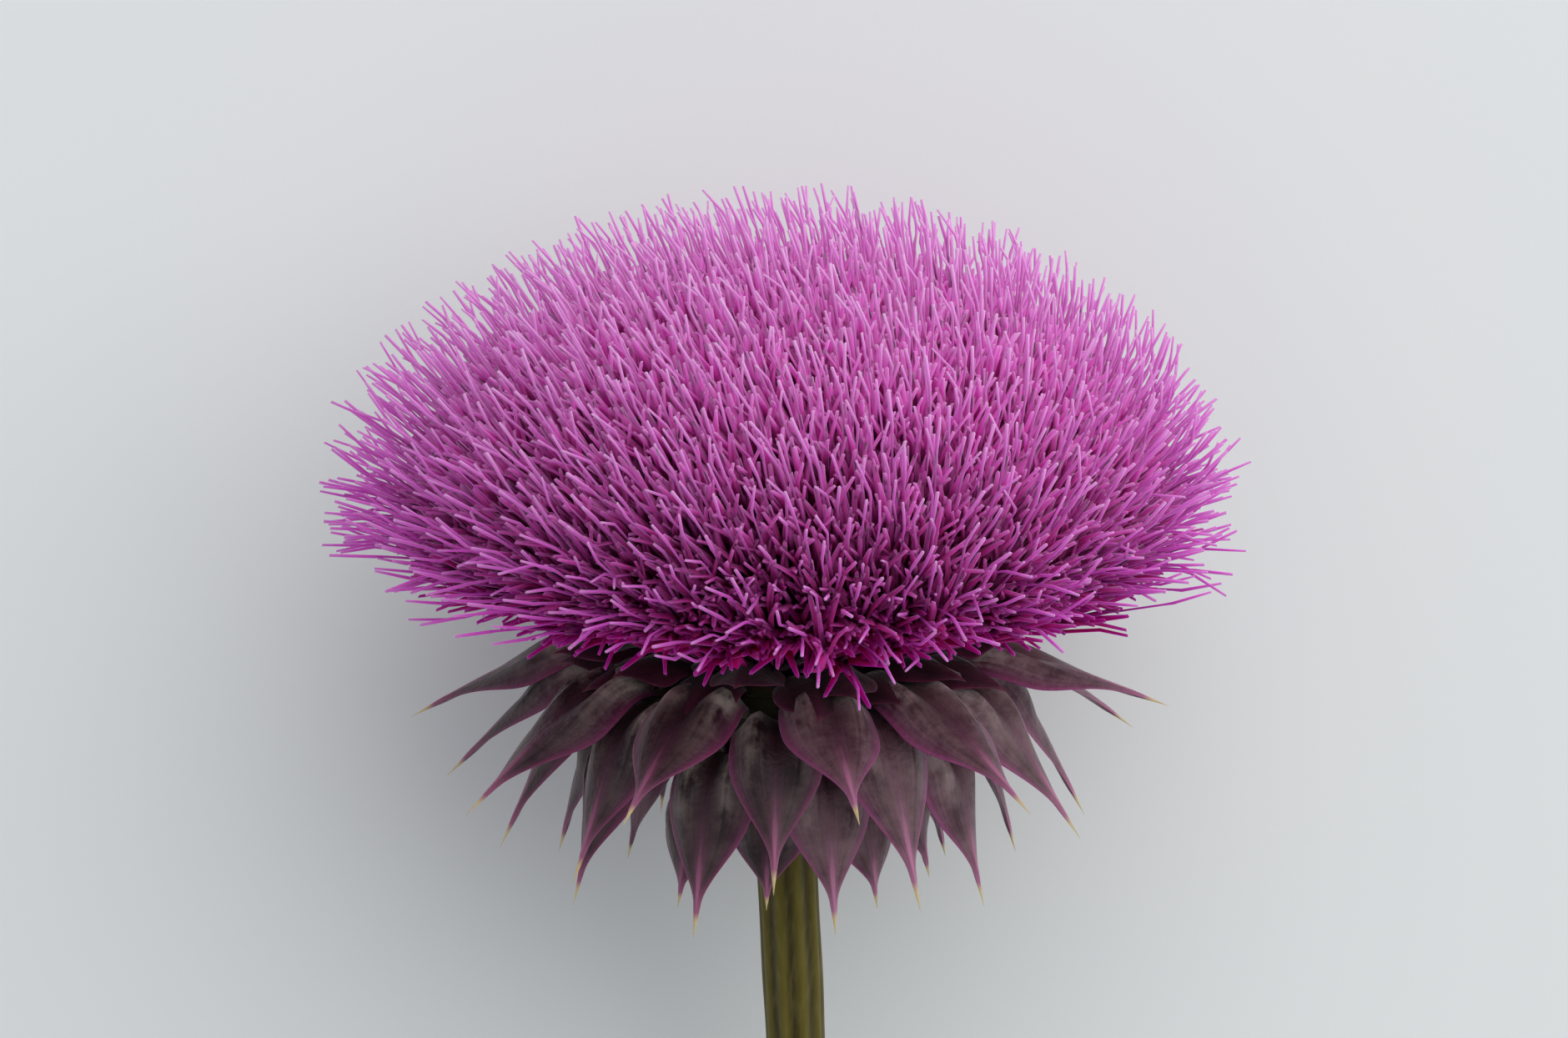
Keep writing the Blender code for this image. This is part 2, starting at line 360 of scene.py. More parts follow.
# ---------------------------------------------------------------- finishes
@dataclass(frozen=True)
class PetalTissue:
    """Fresh floret tissue: thin, matt and full of sap.

    Light goes into it and comes out deeper, so the gaps between florets glow magenta and the
    lit tips stay soft, with no gloss.  The map's second coordinate runs up the parts of a
    floret one after the other, and its first goes from the deepest florets, at the rim, to the
    palest, on the crown.  The rim's deeper colours are partly the older florets' own and
    partly painted shade, where the fringe hangs in shadow.
    """

    name: str = "fresh_petal_tissue"
    # The rim florets' colours: partly their age, partly painted shade where the fringe hangs in
    # shadow.
    rim_parts_aged_and_shaded: tuple[tuple[float, str], ...] = (
        (0.00, "#A87888"), (0.15, "#C42084"), (0.30, "#CC0870"),
        (0.32, "#C4066C"), (0.50, "#920458"), (0.565, "#840660"), (0.60, "#981E7E"),
        (0.62, "#740450"), (0.72, "#84106A"), (0.75, "#8C3868"),
        (0.77, "#982088"), (0.86, "#B038A0"), (0.96, "#C456B4"), (0.99, "#D080C6"),
    )
    pale_parts: tuple[tuple[float, str], ...] = (
        (0.00, "#D8B0C4"), (0.15, "#FC70D4"), (0.30, "#FF68D4"),
        (0.32, "#FF68D4"), (0.50, "#FC6CD4"), (0.565, "#F880DA"), (0.60, "#F49CE2"),
        (0.62, "#E45CC6"), (0.72, "#E470CE"), (0.75, "#E080C8"),
        (0.77, "#F088DE"), (0.86, "#F092E0"), (0.96, "#EE9AE0"), (0.99, "#ECA8E0"),
    )
    sap_depth_mm: float = 1.2                              # how far light goes in
    sap_radius: tuple[float, float, float] = (1.0, 0.3, 0.8)   # red furthest, green least

    def build(self) -> bpy.types.Material:
        """Make the material.

        Returns:
            The material.
        """
        material, shader = new_material(
            self.name, Roughness=0.75, IOR=1.4, Specular_IOR_Level=0.03,
            Subsurface_Weight=0.7, Subsurface_Scale=self.sap_depth_mm * MM,
            Subsurface_Radius=self.sap_radius)
        tree = material.node_tree
        pattern = add_node(tree, "UVMap", {"uv_map": PATTERN_MAP})
        places = add_node(tree, "SeparateXYZ", inputs={0: pattern})
        # The first ramp, for the rim, is partly painted shade.
        deep, pale = (add_node(tree, "ValToRGB", {"stops": stops}, {0: places.outputs["Y"]})
                      for stops in (self.rim_parts_aged_and_shaded, self.pale_parts))
        parts = add_node(tree, "Mix", COLOURS, {0: places.outputs["X"], 6: deep, 7: pale})
        feed(shader, "Base Color", parts)
        return material


@dataclass(frozen=True)
class BladeMap:
    """What the layers of a bract's skin are made from, in its material's node tree."""

    tree: bpy.types.NodeTree
    around: bpy.types.NodeSocket    # once round the blade, the face that shows first
    along: bpy.types.NodeSocket     # from the root to the spine
    across: bpy.types.Node          # 0 on the midrib and 1 at the margins, on both faces
    where: bpy.types.NodeSocket     # the place on the piece, in metres
    veins: bpy.types.Node
    grain: bpy.types.Node
    streaked: bpy.types.Node        # patches with the veins in them


@dataclass(frozen=True)
class BractSkin:
    """Leathery bract skin: dark plum pigment under a thin, patchy, waxy bloom.

    The bloom lies grey on the swellings beside the midrib, where it also dulls the skin's half
    gloss; it is brightest on the shoulders near the root, a painted highlight that fades into
    painted shade down the blade.  The midrib, the margins and the drawn-out tip are blushed
    pink, and the spine is dry straw.
    """

    name: str = "waxy_bract_skin"
    blade: str = "#462D35"
    shade: str = "#28161C"
    # The bloom's pale colour also paints the highlight on the shoulders.
    bloom: str = "#E6DACE"
    blush: str = "#BC6C96"
    edge: str = "#8C3A6A"
    root: str = "#7C9440"
    under: str = "#6E4458"
    spine: str = "#DCC690"
    bloom_cover: float = 1.0
    patch_mm: float = 3.2        # size of the bloom's patches
    grain_mm: float = 0.45       # unevenness of the skin, drawn coarse enough to show
    ripple_mm: float = 0.8       # cross ripples where the blade bends
    relief_mm: float = 0.14      # how high all of these stand
    veins: float = 46.0          # how many lengthwise veins there are round the blade
    vein_breaks: float = 2.0     # how often a vein's tone changes along it
    vein_share: float = 0.32     # of the veins in the mottling, over the patches

    def lay_map(self, tree: bpy.types.NodeTree) -> BladeMap:
        """Add the blade's coordinates and the noises that its layers share.

        Args:
            tree: The material's node tree.

        Returns:
            What the layers are made from.
        """
        pattern = add_node(tree, "UVMap", {"uv_map": PATTERN_MAP})
        places = add_node(tree, "SeparateXYZ", inputs={0: pattern})
        around = places.outputs["X"]
        quarter = add_node(tree, "Math", {"operation": "PINGPONG"}, {0: around, 1: 0.25})
        across = add_node(tree, "Math", SCALED, {0: quarter, 1: -4.0, 2: 1.0})
        where = add_node(tree, "TexCoord").outputs["Object"]
        patches = add_node(tree, "TexNoise", inputs={
            "Vector": where, "Scale": 1.0 / (self.patch_mm * MM), "Detail": 4.0,
            "Roughness": 0.62})
        grain = add_node(tree, "TexNoise", inputs={
            "Vector": where, "Scale": 1.0 / (self.grain_mm * MM), "Detail": 3.0})
        stretched = add_node(tree, "Mapping", inputs={
            "Vector": pattern, "Scale": (self.veins, self.vein_breaks, 1.0)})
        veins = add_node(tree, "TexNoise", inputs={
            "Vector": stretched, "Scale": 1.0, "Detail": 3.0})
        streaked = add_node(tree, "Mix", inputs={0: self.vein_share, 2: patches, 3: veins})
        return BladeMap(tree, around, places.outputs["Y"], across, where, veins, grain, streaked)

    def wax_and_highlight(self, on: BladeMap) -> bpy.types.Node:
        """Give the bloom and a painted highlight: two soft fields beside the midrib, brightest on
        the shoulders and fading down the blade as painted shade, worn in patches and speckled.

        Args:
            on: What the layers are made from.

        Returns:
            The bloom's share, strongest where the blade turns over, where it is also a painted
            highlight.
        """
        beside = add_node(on.tree, "ValToRGB", {"stops": (
            (0.08, "#000000"), (0.34, "#FFFFFF"), (0.54, "#E0E0E0"), (0.80, "#101010"))},
            {0: on.across})
        # Painted highlight on the shoulders near the root, fading into painted shade down the
        # blade.
        down = add_node(on.tree, "ValToRGB", {"stops": (
            (0.09, "#606060"), (0.16, "#FFFFFF"), (0.29, "#FFFFFF"), (0.40, "#848484"),
            (0.56, "#464646"), (0.80, "#000000"))}, {0: on.along})
        shoulder_highlight = add_node(on.tree, "Math", PRODUCT, {0: beside, 1: down})
        worn = add_node(on.tree, "MapRange", inputs={
            "Value": on.streaked, "From Min": 0.41, "From Max": 0.57, "To Max": self.bloom_cover})
        dusted = add_node(on.tree, "Math", PRODUCT, {0: shoulder_highlight, 1: worn})
        specks = add_node(on.tree, "Math", SCALED, {0: on.grain, 1: 0.5, 2: 0.72})
        return add_node(on.tree, "Math", PRODUCT, {0: dusted, 1: specks})

    def flush(self, on: BladeMap) -> bpy.types.Node:
        """Give the pink flush: a fine line on the midrib that widens over the tip.

        Args:
            on: What the layers are made from.

        Returns:
            The flush's share.
        """
        beyond = add_node(on.tree, "Math", SCALED, {0: on.along, 1: -0.9, 2: 0.58})
        closer = add_node(on.tree, "Math", {"operation": "MINIMUM"}, {0: beyond, 1: 0.0})
        widened = add_node(on.tree, "Math", SUM, {0: on.across, 1: closer})
        rib = add_node(on.tree, "ValToRGB", {"stops": (
            (0.0, "#FFFFFF"), (0.05, "#A8A8A8"), (0.22, "#000000"))}, {0: widened})
        grows = add_node(on.tree, "ValToRGB", {"stops": (
            (0.40, "#000000"), (0.58, "#686868"), (0.80, "#E8E8E8"))}, {0: on.along})
        ribbed = add_node(on.tree, "Math", PRODUCT, {0: rib, 1: grows})
        tip = add_node(on.tree, "MapRange", {"interpolation_type": "SMOOTHSTEP"}, {
            "Value": on.along, "From Min": 0.70, "From Max": 0.92, "To Max": 0.8})
        return add_node(on.tree, "Math", {"operation": "MAXIMUM"}, {0: ribbed, 1: tip})

    def green_root(self, on: BladeMap) -> bpy.types.Node:
        """Give the green that shows at the blade's root, most on its midrib.

        Args:
            on: What the layers are made from.

        Returns:
            The green's share.
        """
        rooted = add_node(on.tree, "ValToRGB", {"stops": (
            (0.05, "#FFFFFF"), (0.14, "#808080"), (0.27, "#000000"))}, {0: on.along})
        inner = add_node(on.tree, "MapRange", inputs={
            "Value": on.across, "From Min": 0.9, "From Max": 0.1})
        return add_node(on.tree, "Math", PRODUCT, {0: rooted, 1: inner})

    def build(self) -> bpy.types.Material:
        """Make the material, one layer of colour over the other.

        Returns:
            The material.
        """
        material, shader = new_material(self.name, IOR=1.45, Specular_IOR_Level=0.4,
                                        Sheen_Weight=0.3, Sheen_Roughness=0.35)
        tree = material.node_tree
        on = self.lay_map(tree)
        mottle = add_node(tree, "ValToRGB", {"stops": ((0.38, "#000000"), (0.62, "#FFFFFF"))},
                          {0: on.streaked})
        wax_and_highlight = self.wax_and_highlight(on)
        margin = add_node(tree, "ValToRGB", {"stops": (
            (0.42, "#000000"), (0.62, "#747474"), (0.76, "#C4C4C4"), (0.86, "#F8F8F8"))},
            {0: on.across})
        under_face = add_node(tree, "Math", {"operation": "GREATER_THAN"},
                              {0: on.around, 1: 0.5})
        dry = add_node(tree, "ValToRGB", {"stops": ((0.865, "#000000"), (0.900, "#FFFFFF"))},
                       {0: on.along})
        skin = add_node(tree, "Mix", COLOURS, {0: mottle, 6: self.shade, 7: self.blade})
        for share, colour in ((wax_and_highlight, self.bloom), (margin, self.edge), (self.flush(on), self.blush),
                              (under_face, self.under), (self.green_root(on), self.root),
                              (dry, self.spine)):
            skin = add_node(tree, "Mix", COLOURS, {0: share, 6: skin, 7: colour})
        feed(shader, "Base Color", skin)
        feed(shader, "Roughness", add_node(tree, "MapRange", inputs={
            "Value": wax_and_highlight, "To Min": 0.45, "To Max": 0.72}))
        ripples = add_node(tree, "TexNoise", inputs={
            "Vector": on.where, "Scale": 1.0 / (self.ripple_mm * MM), "Detail": 2.0})
        uneven = add_node(tree, "Math", SUM, {0: ripples, 1: on.grain})
        relief = add_node(tree, "Math", SUM, {0: uneven, 1: on.veins})
        feed(shader, "Normal", add_node(tree, "Bump", inputs={
            "Height": relief, "Strength": 0.5, "Distance": self.relief_mm * MM}))
        return material


# The same skin, lighter and pinker with a paler bloom: painted light for the bracts on the lamp's
# side.
LIT_SIDE_SKIN = BractSkin("lit_side_bract_skin", blade="#72525C", shade="#4A3038",
                         bloom="#F6E6E2", blush="#CC80AA", edge="#9E4A80")
# Thinner skin, maroon right through, with little bloom, and darker still as painted shade
# where it lies under the florets' fringe.
MAROON_SHADED_SKIN = BractSkin("maroon_shaded_bract_skin", blade="#4A2634", shade="#2E1620", bloom="#705060",
                        blush="#5A2840", edge="#742C50", root="#5A5A30", under="#3E1C2C",
                        spine="#74384E", bloom_cover=0.6)
# The base scales' skin: dull green, reddened at its margins.
GREEN_SKIN = BractSkin("green_scale_skin", blade="#4E4C30", shade="#363222", bloom="#8C8C72",
                       blush="#6A3C4A", edge="#5E3E3E")


@dataclass(frozen=True)
class StemSkin:
    """A growing stem's skin: olive green, ribbed, dulled by a thin white wool.

    The wool catches light along the ribs, so the lit side looks grey-green and the shaded side
    dark olive.  The cut end shows a pale pith inside a green ring.
    """

    name: str = "woolly_stem_skin"
    groove: str = "#3C3206"
    ridge: str = "#665C18"
    wool: str = "#8A824C"
    ring: str = "#7F8A45"
    pith: str = "#D8D3A6"
    fibre_mm: float = 0.4        # spacing of the wool's strands, drawn coarse enough to show
    nap_mm: float = 0.12         # how high they stand

    def cut_end(self, tree: bpy.types.NodeTree, pattern: bpy.types.Node) -> bpy.types.Node:
        """Colour the end face by how far each place on it is from the stem's axis.

        Args:
            tree: The material's node tree.
            pattern: The map.

        Returns:
            The colour of the pith, the ring round it and the skin's edge.
        """
        end_face = add_node(tree, "Mapping", inputs={
            "Vector": pattern,
            "Location": (-0.5 / CAP_FILL, (0.5 - 1.0 / CAP_BAND) / CAP_FILL, 0.0),
            "Scale": (1.0 / CAP_FILL, 1.0 / (CAP_FILL * CAP_BAND), 1.0)})
        from_axis = add_node(tree, "VectorMath", {"operation": "LENGTH"}, {0: end_face})
        return add_node(tree, "ValToRGB", {"stops": (
            (0.0, self.pith), (0.50, self.pith), (0.66, self.ring), (0.95, self.groove))},
            {0: from_axis})

    def build(self) -> bpy.types.Material:
        """Make the material.

        Returns:
            The material.
        """
        material, shader = new_material(self.name, Roughness=0.7, Specular_IOR_Level=0.25,
                                        Sheen_Weight=0.15, Sheen_Roughness=0.5)
        tree = material.node_tree
        pattern = add_node(tree, "UVMap", {"uv_map": PATTERN_MAP})
        places = add_node(tree, "SeparateXYZ", inputs={0: pattern})
        turns = add_node(tree, "Math", PRODUCT,
                         {0: places.outputs["X"], 1: math.tau * STEM_RIBS})
        wave = add_node(tree, "Math", {"operation": "COSINE"}, {0: turns})
        rise = add_node(tree, "Math", SCALED, {0: wave, 1: -0.5, 2: 0.5})
        drawn_out = add_node(tree, "Mapping", inputs={
            "Vector": add_node(tree, "TexCoord").outputs["Object"], "Scale": (1.0, 0.12, 0.5)})
        fibres = add_node(tree, "TexNoise", inputs={
            "Vector": drawn_out, "Scale": 1.0 / (self.fibre_mm * MM), "Detail": 4.0})
        tufts = add_node(tree, "ValToRGB", {"stops": ((0.42, "#000000"), (0.78, "#909090"))},
                         {0: fibres})
        is_end = add_node(tree, "Math", {"operation": "GREATER_THAN"},
                          {0: places.outputs["Y"], 1: 1.0 - CAP_BAND})
        skin = add_node(tree, "Mix", COLOURS, {0: rise, 6: self.groove, 7: self.ridge})
        woolly = add_node(tree, "Mix", COLOURS, {0: tufts, 6: skin, 7: self.wool})
        feed(shader, "Base Color", add_node(tree, "Mix", COLOURS, {
            0: is_end, 6: woolly, 7: self.cut_end(tree, pattern)}))
        feed(shader, "Normal", add_node(tree, "Bump", inputs={
            "Height": fibres, "Strength": 0.4, "Distance": self.nap_mm * MM}))
        return material


@dataclass(frozen=True)
class CupFlesh:
    """The involucre's flesh between the bracts: green, matt, reddened in patches."""

    name: str = "involucre_flesh"
    green: str = "#4E5630"
    red: str = "#3E2228"
    patch_mm: float = 3.0
    relief_mm: float = 0.2

    def build(self) -> bpy.types.Material:
        """Make the material.

        Returns:
            The material.
        """
        material, shader = new_material(self.name, Roughness=0.65)
        tree = material.node_tree
        patches = add_node(tree, "TexNoise", inputs={
            "Vector": add_node(tree, "TexCoord").outputs["Object"],
            "Scale": 1.0 / (self.patch_mm * MM), "Detail": 4.0})
        feed(shader, "Base Color", add_node(tree, "Mix", COLOURS, {
            0: patches, 6: self.green, 7: self.red}))
        feed(shader, "Normal", add_node(tree, "Bump", inputs={
            "Height": patches, "Strength": 0.3, "Distance": self.relief_mm * MM}))
        return material


# ---------------------------------------------------------------- bracts
def evenly(first: int, step: int) -> tuple[tuple[int, float, float], ...]:
    """Give a tier's like bracts, a step of degrees apart, round to 180."""
    return tuple((azimuth, 1.0, 0.0) for azimuth in range(first, 180, step))


@dataclass(frozen=True)
class BractTier:
    """One tier of bracts: where it is rooted, how its blades arch and which bracts it has.

    Headings are degrees above level, walking out from the cup, before the bend and after it.
    Each bract has its azimuth, its length over the tier's and how much less it droops.
    """

    root: tuple[float, float]
    length: float
    width: float
    headings: tuple[float, float]
    bend: float
    droop: float
    bracts: tuple[tuple[float, float, float], ...]


FREE_TIERS: dict[Tier, BractTier] = {
    Tier.UPPER: BractTier((12.1, -10.9), 23.5, 8.3, (46.0, -20.0), 0.36, 16.0, (
        (-98, 1.00, 0), (-56, 1.00, -8), (-24, 0.95, 0), (11, 0.93, 2),
        (38, 0.98, 0), (82, 0.97, 11), (109, 1.05, -8), (134, 0.98, 10),
        (158, 0.87, -10), (-174, 0.85, -11), (-148, 0.88, -9), (-123, 0.98, -2))),
    Tier.MIDDLE: BractTier((11.9, -13.5), 22.5, 8.0, (56.0, -60.0), 0.50, 6.0, (
        (-94, 1.03, 18), (-71, 1.00, 0), (-44, 0.99, -1), (-2, 0.91, 0),
        (25, 1.06, 0), (65, 1.00, 10), (95, 1.04, 1), (122, 1.00, 3),
        (149, 0.90, -8), (177, 0.86, -11), (-152, 0.88, -9), (-124, 0.98, 2))),
    Tier.LOWER: BractTier((10.9, -16.6), 21.0, 7.7, (52.0, -72.0), 0.48, 4.0, (
        (-90, 0.85, 0), (-59, 0.97, 0), (-21, 0.98, 0), (12, 0.94, 0),
        (55, 0.95, 0), (103, 0.98, 0), (133, 0.93, -4), (162, 0.87, -10),
        (-168, 0.85, -9), (-143, 0.88, -7), (-118, 0.90, -3))),
    Tier.LOWEST: BractTier((8.7, -19.7), 13.4, 6.8, (40.0, -75.0), 0.45, 3.0, (
        (-38, 0.97, 0), (-6, 0.90, 0), (33, 0.95, 0), (64, 0.85, 0),
        (106, 1.00, 0), (150, 0.95, 0), (-165, 0.95, 0), (-118, 1.15, 0))),
}
INNER_TIERS = (
    BractTier((11.6, -9.6), 10.6, 6.4, (66.0, -14.0), 0.5, 16.0, evenly(-176, 30)),
    BractTier((11.4, -9.2), 11.5, 6.2, (70.0, 0.0), 0.5, 10.0, evenly(-162, 30)),
    BractTier((10.8, -8.9), 11.0, 6.0, (68.0, 18.0), 0.5, 10.0, evenly(-170, 30)),
)
SCALE_TIERS = (
    BractTier((10.2, -18.0), 7.5, 5.6, (68.0, 78.0), 0.8, 0.0, evenly(-176, 36)),
    BractTier((6.4, -22.2), 7.0, 4.8, (48.0, 60.0), 0.8, 0.0, evenly(-160, 40)),
    BractTier((3.9, -24.0), 5.5, 3.4, (40.0, 56.0), 0.8, 0.0, evenly(-170, 52)),
)


@dataclass
class Blade:
    """The flat blade that every bract is copied from: one long, one broad and one thick."""

    sides: int
    stations: int
    widest: float = 0.44          # where along it the blade is widest
    bluntness: float = 0.8        # the lower, the blunter the blade runs into its spine
    root_width: float = 0.56
    spine_width: float = 0.09
    spine_share: float = 0.14
    sharpness: float = 0.06       # width of the spine's very point over its root

    def spine_taper(self, share: np.ndarray | float) -> np.ndarray | float:
        """Give how far the spine has thinned at shares of the length, 1 up to its root."""
        return np.clip((1.0 - share) / self.spine_share, self.sharpness, 1.0)

    def half_width(self, share: np.ndarray | float) -> np.ndarray | float:
        """Work out the blade's outline.

        Args:
            share: Places along the blade, from 0 at its root to 1 at its point.

        Returns:
            Half the width there, over the greatest width.
        """
        blade_end = 1.0 - self.spine_share
        swell = np.sin(0.5 * math.pi * np.clip(share / self.widest, 0.0, 1.0))
        near = self.root_width + (1.0 - self.root_width) * swell
        left = np.clip((blade_end - share) / (blade_end - self.widest), 0.0, 1.0)
        far = self.spine_width + (1.0 - self.spine_width) * smooth_step(left) ** self.bluntness
        blade = np.where(share < self.widest, near, far)
        return 0.5 * np.where(share < blade_end, blade, self.spine_width * self.spine_taper(share))

    def build(self, name: str) -> bpy.types.Object:
        """Extrude the blade from its root to its spine and lay its map.

        Args:
            name: The object's name.

        Returns:
            The flat blade, on Z.
        """
        shares = [station / self.stations for station in range(self.stations + 1)]
        blade = extrude_rod(name, [
            Ring(share, float(self.half_width(share)), 0.5 * float(self.spine_taper(share)))
            for share in shares], self.sides)
        points = read_points(blade)
        angle = np.arctan2(points[:, 1], points[:, 0] / (2.0 * self.half_width(points[:, 2])))
        paint_map(blade, (angle / math.tau) % 1.0, points[:, 2])
        return blade


@dataclass
class Bract:
    """One bract: a copy of the blade, bent over its own line and hollowed towards the cup."""

    tier: BractTier
    azimuth: float
    length: float
    lift: float
    roll: float
    thickness: float = 0.85
    sag: tuple[float, float] = (0.6, 1.3)   # fall of the margins, near the root and beyond
    swelling: float = 1.45                  # height of the two swellings beside the midrib
    swollen: tuple[float, float] = (0.34, 0.22)   # where along the blade, and over how much
    keel: float = 0.50                      # height of the keel towards the tip
    keeled: tuple[float, float] = (0.25, 0.4)     # where it starts, and over how much it grows
    keel_width: float = 0.22                # over the half width
    wave: float = 0.16                      # waviness of the margins
    waves: tuple[float, float, float] = (13.0, 2.0, 17.0)   # along, across and by azimuth
    thinning: float = 0.45                  # how much thinner the tip is than the root
    margin: float = 0.35                    # thickness of the margins over the middle's

    def walk(self, steps: int = 160) -> tuple[np.ndarray, np.ndarray, np.ndarray]:
        """Walk the midrib's line.

        Args:
            steps: How many points to give.

        Returns:
            Shares of the length, places in the radial plane and headings.
        """
        shares = np.linspace(0.0, 1.0, steps)
        start, after = (math.radians(angle) for angle in self.tier.headings)
        turned = smooth_step(shares / self.tier.bend)
        heading = start + (after + self.lift - start) * turned
        heading -= math.radians(self.tier.droop) * np.clip(shares - self.tier.bend, 0.0, None)
        stride = self.length / (steps - 1)
        moves = np.stack((np.cos(heading), np.sin(heading)), axis=1) * stride
        places = np.array(self.tier.root) + np.vstack(((0.0, 0.0), moves[:-1].cumsum(axis=0)))
        return shares, places, heading

    def relief(self, share: np.ndarray, side: np.ndarray, half: np.ndarray) -> np.ndarray:
        """Model the blade's swellings, keel, wavy margins and hollow.

        Args:
            share: Places along the blade.
            side: Places across it, from -1 to 1.
            half: Half the blade's width there, over its greatest width.

        Returns:
            How far the blade's middle surface stands out from its flat, in millimetres.
        """
        fullness = (2.0 * half) ** 2
        centre, spread = self.swollen
        beside = self.swelling * np.exp(-((share - centre) / spread) ** 2) * np.sin(
            math.pi * np.abs(side)) ** 2
        start, growth = self.keeled
        ridge = self.keel * smooth_step((share - start) / growth) * np.sqrt(fullness)
        keel = ridge * np.exp(-np.abs(side) / self.keel_width)
        along, across, by_azimuth = self.waves
        phase = along * share + across * side + by_azimuth * self.azimuth
        near, beyond = self.sag
        sag = near + (beyond - near) * smooth_step(share)
        margins = (self.wave * np.sin(phase) - sag) * side ** 2 * fullness
        return beside + keel + margins

    def bend(self, blade: Blade, flat: np.ndarray) -> np.ndarray:
        """Bend a flat blade's points over the bract's line.

        Args:
            blade: The blade that the points come from.
            flat: Its points: across, through its thickness and along.

        Returns:
            The points round the flower's axis, in millimetres.
        """
        share = flat[:, 2]
        shares, places, headings = self.walk()
        radial = np.interp(share, shares, places[:, 0])
        level = np.interp(share, shares, places[:, 1])
        heading = np.interp(share, shares, headings)
        outward = polar(1.0, self.azimuth, 0.0)
        sideways = np.array((math.cos(self.azimuth), math.sin(self.azimuth), 0.0))
        upright = np.array((0.0, 0.0, 1.0))
        back = np.outer(-np.sin(heading), outward) + np.outer(np.cos(heading), upright)
        turn = (self.roll * smooth_step(share))[:, None]
        across = sideways * np.cos(turn) + back * np.sin(turn)
        away = back * np.cos(turn) - sideways * np.sin(turn)

        half = blade.half_width(share)
        side = flat[:, 0] / half
        taper = (1.0 - self.thinning * share) * (1.0 - (1.0 - self.margin) * side ** 2)
        through = flat[:, 1] * self.thickness * taper
        middle = np.outer(radial, outward) + np.outer(level, upright)
        return (middle + across * (self.tier.width * flat[:, 0])[:, None]
                + away * (self.relief(share, side, half) + through)[:, None])


